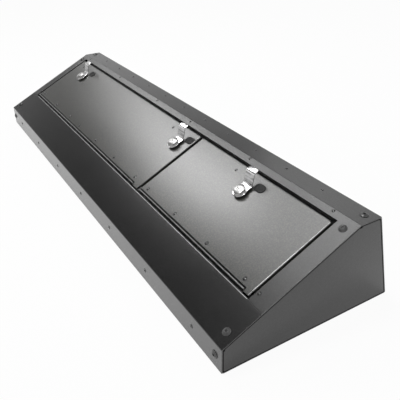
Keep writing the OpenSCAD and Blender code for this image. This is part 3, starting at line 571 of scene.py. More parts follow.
def piece(name, shells, finish, body, replaced=(), sharp=38):
    """Joins skins into one object on a body: doubles are merged, which closes seams and poles, faces
    are turned outwards, and edges sharper than an angle stay sharp in the shading."""
    starts = np.cumsum([0] + [len(flat) for flat, _ in shells])
    faces = [face for (_, blocks), start in zip(shells, starts) for block in blocks
             for face in (block + start).tolist()]
    mesh = bpy.data.meshes.new(name)
    mesh.from_pydata(np.vstack([flat for flat, _ in shells]).tolist(), [], faces)
    work = bmesh.new()
    work.from_mesh(mesh)
    bmesh.ops.remove_doubles(work, verts=work.verts, dist=3e-7)
    bmesh.ops.dissolve_degenerate(work, edges=work.edges, dist=1e-7)
    bmesh.ops.recalc_face_normals(work, faces=work.faces)
    open_edges = sum(not edge.is_manifold for edge in work.edges)
    work.to_mesh(mesh)
    work.free()
    mesh.shade_smooth()
    mesh.set_sharp_from_angle(angle=math.radians(sharp))
    mesh.materials.append(finish)
    thing = bpy.data.objects.new(name, mesh)
    bpy.context.scene.collection.objects.link(thing)
    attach(thing, body)
    if replaced:
        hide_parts(*replaced)
    print(name, len(mesh.polygons), "faces", open_edges, "open edges")
    return thing


# %% [markdown]
# ## Blind rivets
# A blind rivet is set from one side: a pin is pulled through it until the tail bulges, and then snaps
# off inside. What shows is a low black dome with a small round hole where the pin broke. The profile
# runs from the stub of the pin over the dome, down the shank and round the bulge, and is turned about
# its own axis. One grid is made once, and all its copies are the same grid moved to their places.

# %% Where the rivets and screws sit
OPEN_RIGHT, OPEN_LEFT = LENGTH / 2 - 43 * MM, -LENGTH / 2 + 35 * MM
OPEN_LOW, OPEN_HIGH = 95 * MM, SLOPE_LENGTH - 17 * MM
GAP = LENGTH / 2 - 510.5 * MM
RIGHT_DOOR = (GAP + 4.5 * MM, OPEN_RIGHT - 6 * MM)
LEFT_DOOR = (OPEN_LEFT + 6 * MM, GAP - 4.5 * MM)
DOOR_HIGH = OPEN_HIGH - 7 * MM
PIN_UP, PIN_DOWN = OPEN_LOW + 7 * MM, -1 * MM
RIGHT_HINGE = (RIGHT_DOOR[0] + 6 * MM, RIGHT_DOOR[1] - 17 * MM)
LEFT_HINGE = (LEFT_DOOR[0] + 9 * MM, LEFT_DOOR[1] - 25 * MM)
LATCH_UP, TONGUE_LENGTH = DOOR_HIGH - 60 * MM, 66 * MM
LATCHES = {"right": (LENGTH / 2 - 266 * MM, "door_right"),
           "middle": (LENGTH / 2 - 560.5 * MM, "door_left"),
           "far": (-LENGTH / 2 + 147 * MM, "door_left")}
SCREW_SIDES = {"right": LENGTH / 2 - 22 * MM, "left": -LENGTH / 2 + 14 * MM}
ROW_UP = 30 * MM  # height of the rows of rivets and screws up the front and back over the flat top


def on_line(x, up):
    """Points at several x and one height up the face."""
    x = np.atleast_1d(np.asarray(x, float))
    return np.stack([x, np.full_like(x, up), np.zeros_like(x)], 1)


def copies(points, places, axes):
    """The same grid at each place, turned into box axes."""
    return axes(points[None] + np.asarray(places)[:, None, None, :])


def hinge_places(hinge):
    """Four rivets from the near end and the rest from the far end, at one spacing."""
    low, high = hinge[0] + 17 * MM, hinge[1] - 17 * MM
    pitch = min(133.5 * MM, (high - low) / 3)
    far = round((high - low) / pitch) - 3
    x = np.concatenate([high - pitch * np.arange(4), low + pitch * np.arange(far)])
    return on_line(x, PIN_UP + 15 * MM)


screw_right, screw_left = SCREW_SIDES.values()
top_count = round((screw_right - screw_left) / (112 * MM))
top_places = on_line(np.linspace(screw_right, screw_left, top_count + 1)[1:-1], ROW_UP)
front_places = on_line(np.linspace(1, -1, 7) * (LENGTH / 2 - 102 * MM), ROW_UP)
back_places = [on_line([-screw_right, -screw_left], share * HEIGHT / math.cos(LEAN_TURN))
               for share in (0.3, 0.7)]
from_side = 23 * MM + 266 * MM * np.arange(3)
strip_x = np.concatenate([OPEN_RIGHT - from_side, OPEN_LEFT + from_side])
strip_places = on_line(strip_x, OPEN_HIGH + 12 * MM)
side_places = on_line([OPEN_RIGHT + 6.5 * MM, OPEN_LEFT - 6.5 * MM], OPEN_LOW + 20 * MM)
print("top", len(top_places), "front", len(front_places), "strip", len(strip_places))

# %% Rivets
def rivet(shank, head, height, grip):
    """Profile from the pin's stub over the dome, the shank and the bulged tail, with soft corners."""
    r, rim, hole = head / 2, 0.16 * height, 0.14 * head
    reach = np.linspace(hole * 1.12, r * 0.985, 6)
    ball = (r * r + (height - rim) ** 2) / (2 * (height - rim))
    dome = np.stack([reach, rim + np.sqrt(ball ** 2 - reach ** 2) - ball + height - rim], 1)
    inside = [(0, 0.52 * height), (hole * 0.62, 0.46 * height), (hole * 0.8, 0.30 * height),
              (hole, 0.34 * height)]
    tail, bulge = -grip - 5 * MM, shank / 2 + 0.8 * MM
    outside = [(r, rim), (r, 0), (shank / 2, 0), (shank / 2, -grip), (bulge, -grip - 0.8 * MM),
               (bulge, tail + 1.3 * MM), (bulge * 0.72, tail + 0.2 * MM), (shank * 0.28, tail),
               (shank * 0.2, tail + 0.5 * MM), (0, tail + 0.4 * MM)]
    return turned(np.vstack([inside, dome, outside]), 20)


large = {"shank": 4.8 * MM, "head": 9.5 * MM, "height": 1.6 * MM, "grip": 4.0 * MM}
small = {"shank": 4.0 * MM, "head": 7.6 * MM, "height": 1.3 * MM, "grip": 4.0 * MM}
hinge_rivet = {**large, "grip": 3.5 * MM}
GROUPS = {
    "ledge_rivets": [(small, strip_places, slope), (large, side_places, slope)],
    "top_rivets": [(small, top_places, top)],
    "front_rivets": [(large, front_places, front)],
    "back_rivets": [(large, places, back) for places in back_places],
    "door_rivets_right": [(hinge_rivet, hinge_places(RIGHT_HINGE), slope)],
    "door_rivets_left": [(hinge_rivet, hinge_places(LEFT_HINGE), slope)],
}
for x, door in LATCHES.values():
    stop_place = on_line(x - TONGUE_LENGTH, LATCH_UP + 37 * MM)
    GROUPS[door.replace("_", "_rivets_")].append((small, stop_place, slope))
for name, sets in GROUPS.items():
    body = name.replace("_rivets", "") if name.startswith("door") else "box"
    shells = [skin(copies(rivet(**kind), places, axes), (False, True)) for kind, places, axes in sets]
    piece(name + "_set", shells, black_rivet, body, [name])

# %% [markdown]
# ## End screws and nuts
# The end plates are held by button head screws in oiled black steel, with a flange and a hexagon
# socket. The socket is a hexagon and the head is round, so the grid's first rows follow a hexagon's
# radius and the later ones a circle's. A screw thread is a wave on the shank's radius that climbs by
# one pitch for each turn.

# %% Screws and nuts at the ends
M8_PITCH, M8_DEPTH = 1.25 * MM, 0.6 * MM


def button_screw(head=17 * MM, height=3.6 * MM, shank=8 * MM, reach=12.5 * MM, socket=5 * MM):
    """Hexagon rows for the socket, then a profile over the head, flange and threaded shank."""
    deep = height - 2.4 * MM
    hole = turned([(0, deep - 0.3 * MM), (9, deep), (9, height - 0.35 * MM)], 36, hexagon(socket))
    rim = turned([(9, height - 0.08 * MM)], 36, hexagon(socket * 1.09))
    cap = rounded([(0, 0), (3.9 * MM, height), (7.0 * MM, 1.45 * MM), (head / 2, 0.95 * MM),
                   (head / 2, 0), (0, 0)],
                  np.array([0, 1.6, 1.5, 0.3, 0.15, 0]) * MM, 4, closed=False)[1:-1]
    shank_rows = np.stack([np.full(56, shank / 2), np.linspace(0, -reach + 0.8 * MM, 56)], 1)
    end = [(shank / 2 - 0.8 * MM, -reach), (0, -reach)]
    shaft = turned(np.vstack([cap, shank_rows, end]), 36)
    return thread(np.concatenate([hole, rim, shaft]), -reach, -3.5 * MM, M8_PITCH, M8_DEPTH)


def hexagon_nut(flats, height, bore, sides=48):
    """A ring section, cut by a hexagon and chamfered top and bottom, wrapped both ways."""
    flat, corner = flats / 2, flats / 2 / math.cos(math.radians(30))
    cut = 0.32 * (corner - flat) + 0.3 * MM
    side = np.stack([np.linspace(flat * 0.97, corner * 1.05, 7), np.linspace(0, cut * 1.6, 7)], 1)
    lower = np.vstack([[(bore + 0.5 * MM, 0)], side])
    upper = lower[::-1] * [1, -1] + [0, height]
    section = np.vstack([lower, upper, [(bore, height - 0.5 * MM), (bore, 0.5 * MM)]])
    return turned(section, sides, hexagon(flats))


m8_nut = hexagon_nut(13 * MM, 6.5 * MM, 4.05 * MM)
END_KINDS = [("screw", button_screw(), False, black_screw, "black_steel"),
             ("nut", m8_nut - [0, 0, 10.5 * MM], True, zinc, "zinc_steel")]
END_SPOTS = [(27 * MM, slope), (SLOPE_LENGTH - 25 * MM, slope), (ROW_UP, top), (ROW_UP, front)]
for side, x in SCREW_SIDES.items():
    for kind, points, closed, finish, slot in END_KINDS:
        shells = [skin(copies(points, on_line(x, up), axes), (closed, True))
                  for up, axes in END_SPOTS]
        piece(f"end_{kind}_set_{side}", shells, finish, "box", [f"end_{kind}s_{side}"])

# %% [markdown]
# ## Seams at the end plates
# Each end plate's edges are folded in, so a small groove is left between its round fold and the edge
# of the cover and the pan. A near black bead lies in it as painted shade, the dark line that frames
# the end. The bead is a ring section carried round the box's outline: how far in the outline moves is
# one number of the ring, and how deep the bead lies is the other.

# %% Beads of painted shade in the end seams
OUTLINE = np.array([(FRONT, 0), (DEPTH / 2, 0), (DEPTH / 2 - BACK_LEAN, HEIGHT),
                    (FRONT + SLOPE_RUN, HEIGHT), (FRONT, FRONT_HEIGHT)])


def bead(end, radius=2.1 * MM, inset=3.9 * MM, deep=2.15 * MM):
    """Box outline moved in by inset + radius cos a, at a depth of deep - radius sin a from the end."""
    turn = 2 * math.pi * np.arange(12) / 12
    rings = shrink(rounded(OUTLINE, 6.5 * MM, 8), inset + radius * np.cos(turn))
    depth = np.broadcast_to((deep - radius * np.sin(turn))[:, None, None], rings.shape[:2] + (1,))
    return np.concatenate([end - np.sign(end) * depth, rings], -1)


for side, end in (("right", LENGTH / 2), ("left", -LENGTH / 2)):
    # A near black bead of painted shade in each end's groove.
    piece(f"end_seam_shade_bead_{side}", [skin(bead(end), (True, True))], seam_shade, "box")

# %% [markdown]
# ## Latch levers
# Each lever is a chromed steel strap: a round eye on the lock spindle, a flat, a slope up and a
# finger tab, and its edges are tumbled smooth. A strap is easiest to draw flat. Its half width is a
# function of the place along it (a circle at the eye, a straight run, quarter rounds at the tab). The
# rim is a small half round that follows the edge, and the whole flat grid is then laid along the bent
# middle line: a point goes to the line's place at its length, plus its height along the line's normal.
# The tongues below the doors are made by the same functions, without the bends.

# %% Straps with rounded edges
def strap(place, half, away, thickness, edge, steps=5):
    """Rows across a strap that is symmetric about its middle. Each row runs round the section: up the
    right rim, across, down the left rim and back. A rim point lies inside the edge by edge * (1 - cos)
    along the edge's outer direction (away), at height edge * sin beyond the flat part of the rim."""
    turn = np.linspace(-math.pi / 2, math.pi / 2, 2 * steps)
    inside = edge * (1 - np.cos(turn))
    height = np.sign(turn) * (thickness / 2 - edge) + edge * np.sin(turn)
    across = half[:, None] - inside * away[:, :1]
    along_it = place[:, None] - inside * away[:, 1:]
    right_rim = np.stack([across, along_it, np.broadcast_to(height, across.shape)], -1)
    left_rim = right_rim[:, ::-1] * [-1, 1, 1]
    return np.concatenate([right_rim, left_rim], 1)


def paddle(eye, width, total, corner, thickness, edge, eye_rows, run_rows, tab_rows):
    """A flat strap with a round eye and a tab. From its middle to its edge it is sqrt(eye^2 - d^2) at
    d from the eye's centre, width along the run, and width - corner + sqrt(corner^2 - d^2) at d from
    where the tab's round corners start."""
    tab_start = total - corner
    turn = np.linspace(0, math.acos(-math.sqrt(1 - (width / eye) ** 2)), eye_rows)
    round_end = eye - eye * np.cos(turn)
    run = np.linspace(round_end[-1], tab_start, run_rows)[1:]
    tab = tab_start + corner * np.sin(np.linspace(0, math.pi / 2, tab_rows))[1:]
    place = np.concatenate([round_end, run, tab])
    from_eye, from_tab = np.minimum(place - eye, eye), np.maximum(place - tab_start, 0)
    at_eye = np.arange(len(place)) < eye_rows
    eye_half = np.sqrt(np.maximum(eye ** 2 - from_eye ** 2, 0))
    corner_half = np.sqrt(np.maximum(corner ** 2 - from_tab ** 2, 0))
    away = np.where(at_eye[:, None], np.stack([eye_half, from_eye], 1) / eye,
                    np.stack([corner_half, from_tab], 1) / corner)
    half = np.where(at_eye, eye_half, width - corner + corner_half)
    return strap(place, half, away, thickness, edge)


def laid_along(flat, line):
    """Flat strap laid along a bent middle line: the line's place at the strap's length, plus the height
    along the line's normal. Lengths past the ends go straight on."""
    leg = np.diff(line, axis=0)
    length = np.concatenate([[0], np.cumsum(np.linalg.norm(leg, axis=1))])
    heading = np.unwrap(np.arctan2(leg[:, 1], leg[:, 0]))
    u, v, h = np.moveaxis(flat, -1, 0)
    angle = np.interp(v, (length[:-1] + length[1:]) / 2, heading)
    beyond = np.minimum(v, 0) + np.maximum(v - length[-1], 0)
    y, n = (np.interp(v, length, line[:, k]) for k in (0, 1))
    return np.stack([u, y + beyond * np.cos(angle) - h * np.sin(angle),
                     n + beyond * np.sin(angle) + h * np.cos(angle)], -1)


def closed_strap(flat):
    """Skin of a strap: rows wrap round the section, and each end's two rims are joined."""
    rows, columns = flat.shape[:2]
    points, faces = skin(flat, (False, True))
    near = np.arange(columns // 2 - 1)
    far = columns - 1 - near
    for first in (0, (rows - 1) * columns):
        faces.append(first + np.stack([near, near + 1, far - 1, far], 1))
    return points, faces


# %% Latch levers
LEVER_UNDER, LEVER_THICK, EYE, LEVER_HALF = 4.5 * MM, 2 * MM, 17 * MM, 15 * MM
lever_middle = LEVER_UNDER + LEVER_THICK / 2
lever_line = rounded([(-EYE, lever_middle), (23 * MM, lever_middle), (41 * MM, 29 * MM),
                      (54 * MM, 29 * MM)], [0, 4 * MM, 4 * MM, 0], 10, closed=False)
lever_length = np.sum(np.linalg.norm(np.diff(lever_line, axis=0), axis=1))
lever_flat = paddle(EYE, LEVER_HALF, lever_length, corner=6 * MM, thickness=LEVER_THICK,
                    edge=0.55 * MM, eye_rows=30, run_rows=60, tab_rows=9)
lever = laid_along(lever_flat, lever_line)
print("lever", round(float(lever_length), 4), "m long when flat")


def at_latches(kind, shell, finish, solid, turns=True, shift=(0, 0), sharp=38):
    """One skin at each latch, shifted along and up the slope. It rides on the turning latch or, if it
    doesn't turn, on the latch's door, and stands for that latch's own solid."""
    points, faces = shell
    for latch, (x, door) in LATCHES.items():
        placed = slope(points + [x + shift[0], LATCH_UP + shift[1], 0])
        piece(f"{kind}_{latch}", [(placed, faces)], finish, f"latch_{latch}" if turns else door,
              [f"{solid}_{latch}"], sharp)


at_latches("latch_lever", closed_strap(lever), chrome, "lever", sharp=50)

# %% [markdown]
# ## Lock heads
# The lock head is a nickelled hexagon with a chamfered crown. In its middle sits the key cylinder, a
# little sunk, with a slot. A chamfered hexagon is the smaller of two radii at every point, the
# hexagon's and the crown cone's, so one grid holds them both. The slot's rows follow a narrow rounded
# box instead of a circle, and then go down. Below the lever the spindle runs through the bushing and
# ends in a thread.

# %% Lock spindles
def slot_shape(length, width):
    """Radius of a narrow box with rounded corners at each angle: an eighth power ellipse."""
    def radius(angle):
        across, up = np.abs(np.cos(angle)) / length * 2, np.abs(np.sin(angle)) / width * 2
        return (across ** 8 + up ** 8) ** (-1 / 8)
    return radius


def lock_head(sides=96):
    """From the bottom of the key slot over the cylinder and the crown, down the hexagon and the
    spindle to its threaded end."""
    high = 14.5  # millimetres, as all here; 9 stands for wider than the slot
    slot_rows = turned(np.array([(0, high - 3.6), (9, high - 3.6), (9, high - 0.75)]) * MM, sides,
                       slot_shape(6.2 * MM, 1.5 * MM))
    lip = turned(np.array([(9, high - 0.6)]) * MM, sides, slot_shape(6.5 * MM, 1.8 * MM))
    plug = np.array([(3.9, high - 0.6), (4.1, high - 0.75), (4.15, high - 1.3), (4.45, high - 1.3),
                     (4.5, high - 0.3), (4.9, high)]) * MM
    share = np.linspace(1.1, 5.5, 4) / 5.5
    dome = np.stack([np.linspace(6.0, 11.4, 4), high - 0.9 * share ** 2], 1) * MM
    crown = np.stack([np.linspace(12.0, 15.8, 9), np.linspace(13.4, 12.0, 9)], 1) * MM
    base = np.array([(15.8, 7.6), (15.1, 6.7), (14.6, 6.5)]) * MM
    head = turned(np.vstack([dome, crown, base]), sides, hexagon(26 * MM))
    spindle = turned(np.array([(6.0, 6.5), (6.0, -20.0), (5.5, -20.5), (4.0, -20.5)]) * MM, sides)
    shaft = np.stack([np.full(50, 4.0), np.linspace(-20.6, -31.2, 50)], 1)
    tail = turned(np.vstack([shaft, [(3.2, -32.0), (0, -32.0)]]) * MM, sides)
    tail = thread(tail, -32 * MM, -20.8 * MM, M8_PITCH, M8_DEPTH)
    return np.concatenate([slot_rows, lip, turned(plug, sides), head, spindle, tail])


at_latches("lock_head", skin(lock_head(), (False, True)), nickel, "lock_spindle", sharp=32)

# %% [markdown]
# ## Bushings, their nuts, and the tongues
# A black nylon bushing carries the spindle through the door: a round flange above, a threaded barrel
# below and a ring nut that clamps the door's sheet. The tongue is a zinc plated strap on the end of
# the spindle, held by a nut, and slides under the ledge when the lever is turned.

# %% Bushings, nuts and tongues
TONGUE_HALF, TONGUE_THICK, TONGUE_DOWN = 10 * MM, 3 * MM, 22 * MM


def bushing_rows(sides=72):
    """A ring section wrapped both ways: bore, soft edged flange, threaded barrel."""
    flange = rounded([(6.1, 3.6), (6.6, 4.2), (15.2, 4.2), (15.2, 0.0), (11.0, 0.0)],
                     [0, 0.3, 1.6, 0.3, 0], 5, closed=False)
    barrel = np.stack([np.full(60, 11.0), np.linspace(0, -19.6, 60)], 1)[1:]
    section = np.vstack([flange, barrel, [(10.5, -20.2), (6.6, -20.2), (6.1, -19.7)]]) * MM
    return thread(turned(section, sides), -19.6 * MM, -2.2 * MM, 1.5 * MM, 0.7 * MM)


flat = paddle(TONGUE_HALF, TONGUE_HALF, TONGUE_HALF + TONGUE_LENGTH, corner=1.5 * MM,
              thickness=TONGUE_THICK, edge=0.5 * MM, eye_rows=16, run_rows=2, tab_rows=6)
tongue = np.stack([TONGUE_HALF - flat[..., 1], flat[..., 0], flat[..., 2] - TONGUE_DOWN], -1)
ring_nut = hexagon_nut(32 * MM, 6 * MM, 11.05 * MM, 72) - [0, 0, 8 * MM]
tongue_nut = m8_nut - [0, 0, 30 * MM]
at_latches("latch_bushing", skin(bushing_rows(), (True, True)), black_nylon, "bushing",
           turns=False)
at_latches("ring_nut", skin(ring_nut, (True, True)), zinc, "bushing_nut", turns=False)
at_latches("latch_tongue", closed_strap(tongue), zinc, "tongue", sharp=50)
at_latches("tongue_lock_nut", skin(tongue_nut, (True, True)), zinc, "tongue_nut")

# %% [markdown]
# ## Rubber pads
# An oval rubber pad sits beside each latch, where a finger lifts the lever and the open lever can't
# scratch the paint. Its top is slightly crowned. The rows are one stadium outline drawn ever further
# in, and their height follows an ellipse near the rim and a very shallow arch in the middle. A stem
# and a barb hold it in its hole.

# %% Pads
def pad_rows(length=30 * MM, width=20.5 * MM, height=2.5 * MM, sides=64):
    """Stadium rows: two half circles of radius r - inset, pushed apart. Height: an elliptic shoulder
    plus a parabola, down to the underside, the stem and the barb."""
    r, apart, shoulder_wide, arch_high = width / 2, (length - width) / 2, 1.5 * MM, 0.35 * MM
    turn = np.linspace(0, math.pi / 2, 8)
    shoulder = np.stack([shoulder_wide * (1 - np.cos(turn)), (height - arch_high) * np.sin(turn)], 1)
    inner = np.linspace(shoulder_wide, r, 10)[1:]
    arch = height - arch_high + arch_high * (1 - ((r - inner) / (r - shoulder_wide)) ** 2)
    rows = np.vstack([np.stack([inner, arch], 1)[::-1], shoulder[::-1]])
    angle = 2 * math.pi * (np.arange(sides) + 0.5) / sides
    around = np.stack([np.cos(angle), np.sin(angle)], -1)
    level = np.ones((sides, 1))
    push = apart * np.sign(around) * [1, 0]
    top_rows = np.concatenate([(r - rows[:, :1, None]) * around + push, rows[:, 1:, None] * level], -1)
    stem = np.array([(4.0, 0.0), (4.0, -2.0), (5.5, -2.0), (5.4, -2.6), (4.4, -4.0), (0.0, -4.0)]) * MM
    stem_rows = np.concatenate([stem[:, :1, None] * around, stem[:, 1:, None] * level], -1)
    return np.concatenate([top_rows, stem_rows])


at_latches("oval_pad", skin(pad_rows(), (False, True)), black_rubber, "pad", turns=False,
           shift=(28 * MM, 32.5 * MM), sharp=50)

# %% [markdown]
# ## Foam seals
# Strips of self-adhesive cellular foam lie on the ledges, and the doors' folded edges press on them.
# Foam cut from a roll has soft corners, a slightly crowned top and small waves along its length. So
# the section is a rounded box carried along the strip, and its width and height breathe by a sum of
# a few long sine waves with seeded phases.

# %% Seals
def foam_bar(length, width, height, seed, gap=7 * MM, end_long=1.2 * MM):
    """Rounded box section carried along a strip: across = width * (1 + waves), up = height *
    (1 - waves), with a crown that falls off as the square of the distance from the middle. The ends
    are rounded."""
    rng = np.random.default_rng(seed)
    section = rounded([(-width / 2, 0), (width / 2, 0), (width / 2, height), (-width / 2, height)],
                      np.array([0.3, 0.3, 1.1, 1.1]) * MM, 5)
    crest = [(width * k, height) for k in (0.3, 0.15, 0, -0.15, -0.3)]
    section = np.vstack([section[:12], crest, section[18:]])
    rows = max(int(length / gap), 4)
    turn = np.linspace(math.pi / 2, 0, 5)
    place = np.concatenate([end_long * (1 - np.sin(turn)),
                            np.linspace(end_long, length - end_long, rows)[1:-1],
                            length - end_long * (1 - np.sin(turn[::-1]))])
    end = np.concatenate([np.cos(turn), np.ones(rows - 2), np.cos(turn[::-1])])
    end[[0, -1]] = 0
    phase, pitch = rng.uniform(0, 2 * math.pi, (2, 4)), rng.uniform(30, 110, (2, 4)) * MM
    wave = np.sin(2 * math.pi * place[:, None, None] / pitch + phase).mean(-1)
    wide = (0.8 + 0.2 * end) * (0.985 + 0.015 * wave[:, 0])
    high = (0.6 + 0.4 * end) * (0.975 + 0.025 * wave[:, 1])
    crown = 1 - 0.06 * (section[:, 0] / (width / 2)) ** 2
    across, up_it = section[:, 0] * wide[:, None], section[:, 1] * crown * high[:, None]
    return np.stack([np.broadcast_to(place[:, None], across.shape), across, up_it], -1)


SHELF, SHELF_DOWN, FOAM_WIDE = OPEN_HIGH - 19 * MM, -16.3 * MM, 12 * MM
FOAM_HIGH = -12.3 * MM - SHELF_DOWN
SIDE_LOW, SIDE_HIGH = OPEN_LOW + 15 * MM, SHELF + 2 * MM


def foam_across(x0, x1, seed):
    """A strip along the upper ledge."""
    start = [x0, SHELF + 3 * MM + FOAM_WIDE / 2, SHELF_DOWN]
    return slope(foam_bar(x1 - x0, FOAM_WIDE, FOAM_HIGH, seed) + start)


def foam_up(x, width, seed):
    """A strip that runs up the slope, its middle at x."""
    bar = foam_bar(SIDE_HIGH - SIDE_LOW, width, FOAM_HIGH, seed)
    return slope(np.stack([-bar[..., 1] + x, bar[..., 0] + SIDE_LOW, bar[..., 2] + SHELF_DOWN], -1))


SEALS = {
    "seal_right_door": [foam_across(GAP, OPEN_RIGHT, 1), foam_up(OPEN_RIGHT - 10 * MM, FOAM_WIDE, 2)],
    "seal_left_door": [foam_across(OPEN_LEFT, GAP - 1 * MM, 3),
                       foam_up(OPEN_LEFT + 10 * MM, FOAM_WIDE, 4)],
    "cross_seal": [foam_up(GAP, 33 * MM, 5)],
}
for name, bars in SEALS.items():
    shells = [skin(bar, (False, True), lids=True) for bar in bars]
    strip = piece("foam_" + name, shells, foam, "box", [name], sharp=60)

# %% [markdown]
# ## Piano hinges
# A piano hinge is two long strips whose edges are rolled round one pin, in turns: first a knuckle of
# one strip, then one of the other. Each knuckle is the strip's own sheet, curled almost once round,
# so a fine seam shows where the curl meets the strip. The section is that curl, drawn as a line and
# given the sheet's thickness, and it is carried along the hinge once for every knuckle.

# %% Hinge leaves
LEAF, CURL = 1.5 * MM, 3.0 * MM
curl_turn = np.radians(np.linspace(-90, 180, 15))
arc = CURL * np.stack([np.cos(curl_turn), np.sin(curl_turn)], 1)
frame_curl = np.vstack([[(-6.25 * MM, -6 * MM), (-6.25 * MM, -CURL)], arc])
door_curl = np.vstack([[(8 * MM, -1.75 * MM), (5.2 * MM, -1.75 * MM), (3.2 * MM, -CURL)],
                       arc[:1], arc[1:] * [-1, 1]])


def knuckles(hinge, first, line):
    """The curl's line, moved half a sheet to either side and carried over every second knuckle."""
    count = 2 * round((hinge[1] - hinge[0]) / (25 * MM) / 2) + 1
    step = (hinge[1] - hinge[0]) / count
    starts = hinge[0] + step * np.arange(first, count, 2)
    section = np.vstack([beside(line, -LEAF / 2), beside(line, LEAF / 2)[::-1]])
    one = carried(section, 0.2 * MM, step - 0.2 * MM, 0.15 * MM, 3)
    return copies(one + [0, PIN_UP, PIN_DOWN], on_line(starts, 0), slope)


def leaf(hinge, low, high):
    """The flat strip of a hinge leaf: a soft edged box section carried along the hinge."""
    outline = rounded([low, (high[0], low[1]), high, (low[0], high[1])], 0.2 * MM, 3)
    return slope(carried(outline, hinge[0], hinge[1]) + [0, PIN_UP, PIN_DOWN])


for side, hinge in (("right", RIGHT_HINGE), ("left", LEFT_HINGE)):
    # each leaf: opposite corners of its strip's section, from the pin; first knuckle, curl and body
    leaves = [("frame", (-7 * MM, -15 * MM), (-5.5 * MM, -2.4 * MM), 0, frame_curl, "box"),
              ("door", (4.2 * MM, -2.5 * MM), (23 * MM, -1.0 * MM), 1, door_curl, f"door_{side}")]
    for kind, low, high, first, line, body in leaves:
        shells = [skin(grid, (False, True), lids=True)
                  for grid in (leaf(hinge, low, high), knuckles(hinge, first, line))]
        piece(f"hinge_{kind}_leaf_{side}", shells, hinge_coat_shaded, body, [f"{kind}_leaf_{side}"])

# %% [markdown]
# ## Floor, room and lamps
# The floor is plain and pale and runs far past the view. The camera sees floor and room as white, and
# the floor still shows the object's shadow. What a surface mirrors is another matter: a black box
# under an all-white room would look grey. So reflections meet a room that is white near the floor and
# fades with height to a pale ceiling, or to a black cloth on the left, where the lamps hang. The
# lamps are a bank of small soft panels beyond the left end, whose strengths shape the long soft gleam
# on the doors, two large panels further back and a strong one above the front.

# %% Floor
SEEN_WHITE, MIRRORED_WHITE = 0.95, 0.4  # share of the floor's brightness that no shadow takes away


def stage_floor(reach=14.0):
    """A flat square far larger than the view, white where it is looked at, with a soft shadow kept."""
    mesh = bpy.data.meshes.new("floor")
    corners = reach * np.array([[-1, -1, 0], [1, -1, 0], [1, 1, 0], [-1, 1, 0]], float)
    mesh.from_pydata(corners.tolist(), [], [(0, 1, 2, 3)])
    floor = bpy.data.objects.new("floor", mesh)
    bpy.context.scene.collection.objects.link(floor)
    stuff = Recipe("studio_floor", Specular_IOR_Level=0.0, Roughness=0.9)
    stuff.set(Base_Color=stuff.mix(stuff.noise(0.8), grey(0.82), grey(0.86)))
    glow = stuff.add("ShaderNodeEmission", {"Strength": 1.0}).outputs[0]
    reflection = stuff.rays("Is Glossy Ray", "Is Transmission Ray")
    share = stuff.math("MAXIMUM", stuff.math("MULTIPLY", reflection, MIRRORED_WHITE),
                       stuff.math("MULTIPLY", stuff.rays("Is Camera Ray"), SEEN_WHITE))
    both = stuff.add("ShaderNodeMixShader", {0: share, 1: stuff.shader.outputs[0], 2: glow})
    stuff.tree.links.new(both.outputs[0], stuff.tree.nodes["Material Output"].inputs["Surface"])
    mesh.materials.append(stuff.material)
    return floor


floor = stage_floor()
print("floor", floor.name)

# %% Room
ROOM_LIGHT = 0.45  # on dull surfaces
CEILING, CLOTH = 0.6, 0.08  # as mirrors see them


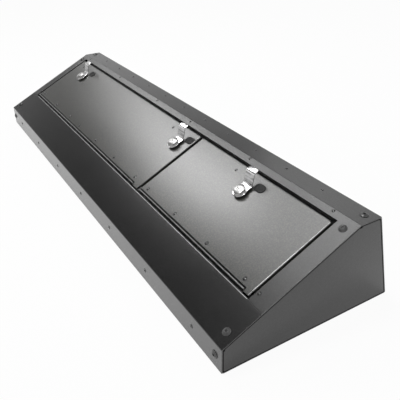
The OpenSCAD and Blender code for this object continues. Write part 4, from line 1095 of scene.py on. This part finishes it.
def white_room():
    """White to the camera. To mirrors and glass it is white near the floor, and fades with height to
    a pale ceiling, or to the cloth on the left. Dull surfaces get the room light. In one line:
    max(camera, reflection * max(fade, side), dull * room light)."""
    world = bpy.data.worlds.new("room")
    bpy.context.scene.world = world
    world.use_nodes = True
    room = Graph(world.node_tree)
    heading = room.add("ShaderNodeTexCoord").outputs["Generated"]
    way = room.add("ShaderNodeSeparateXYZ", {0: heading}).outputs
    fade = room.ramp(way["Z"], 0.08, 0.45, 1.0, CLOTH)
    side = room.ramp(way["X"], -0.5, -0.1, CLOTH, CEILING)
    mirrored = room.math("MULTIPLY", room.rays("Is Glossy Ray", "Is Transmission Ray"),
                         room.math("MAXIMUM", fade, side))
    seen = room.math("MAXIMUM", room.rays("Is Camera Ray"), mirrored)
    dull = room.math("MULTIPLY", room.rays("Is Diffuse Ray"), ROOM_LIGHT)
    background = world.node_tree.nodes["Background"]
    room.tree.links.new(room.math("MAXIMUM", seen, dull), background.inputs["Strength"])
    background.inputs["Color"].default_value = (1, 1, 1, 1)


white_room()
print("room light", ROOM_LIGHT)

# %% Lamps
AIM = np.array([0, 0, 0.12])  # the middle of the box, where every lamp points
FAR = 2.4
LAMPS = {  # size of a square panel: its azimuths from the right end, elevations and watts
    0.42: [(175, 22, 0.39), (182, 25.5, 0.18), (182, 29, 0.37), (182, 32.5, 0.1), (182, 36, 1.25),
           (189, 36, 0.47), (182, 43, 0.11), (189, 43, 2.02), (168, 51, 0.11), (182, 51, 0.46),
           (189, 51, 2.86), (175, 60, 1.02), (189, 60, 0.44), (197, 60, 0.65), (168, 70, 2.75),
           (197, 70, 1.11)],
    1.0: [(150, 30, 0.36), (120, 40, 2.7)],
    0.5: [(268, 76, 20.38)],
}


def softbox(name, azimuth, elevation, size, watts):
    """A square area lamp on a ball about the box, facing its middle: far * (cos a cos e, sin a cos e,
    sin e) from it. A lamp shines along its own -Z, so its Z is the way from the box to the lamp."""
    a, e = math.radians(azimuth), math.radians(elevation)
    away = np.array([math.cos(a) * math.cos(e), math.sin(a) * math.cos(e), math.sin(e)])
    side = unit(np.cross([0, 0, 1], away))
    lamp = bpy.data.lights.new(name, "AREA")
    lamp.shape, lamp.size, lamp.size_y, lamp.energy = "RECTANGLE", size, size, watts
    holder = bpy.data.objects.new(name, lamp)
    bpy.context.scene.collection.objects.link(holder)
    turn = Matrix(np.stack([side, np.cross(away, side), away], 1).tolist())
    holder.matrix_world = Matrix.Translation((AIM + FAR * away).tolist()) @ turn.to_4x4()


panels = [(size, *row) for size, rows in LAMPS.items() for row in rows]
for k, (size, azimuth, elevation, watts) in enumerate(panels):
    softbox(f"panel_{k}", azimuth, elevation, size, watts)
print("lamps", len(panels))
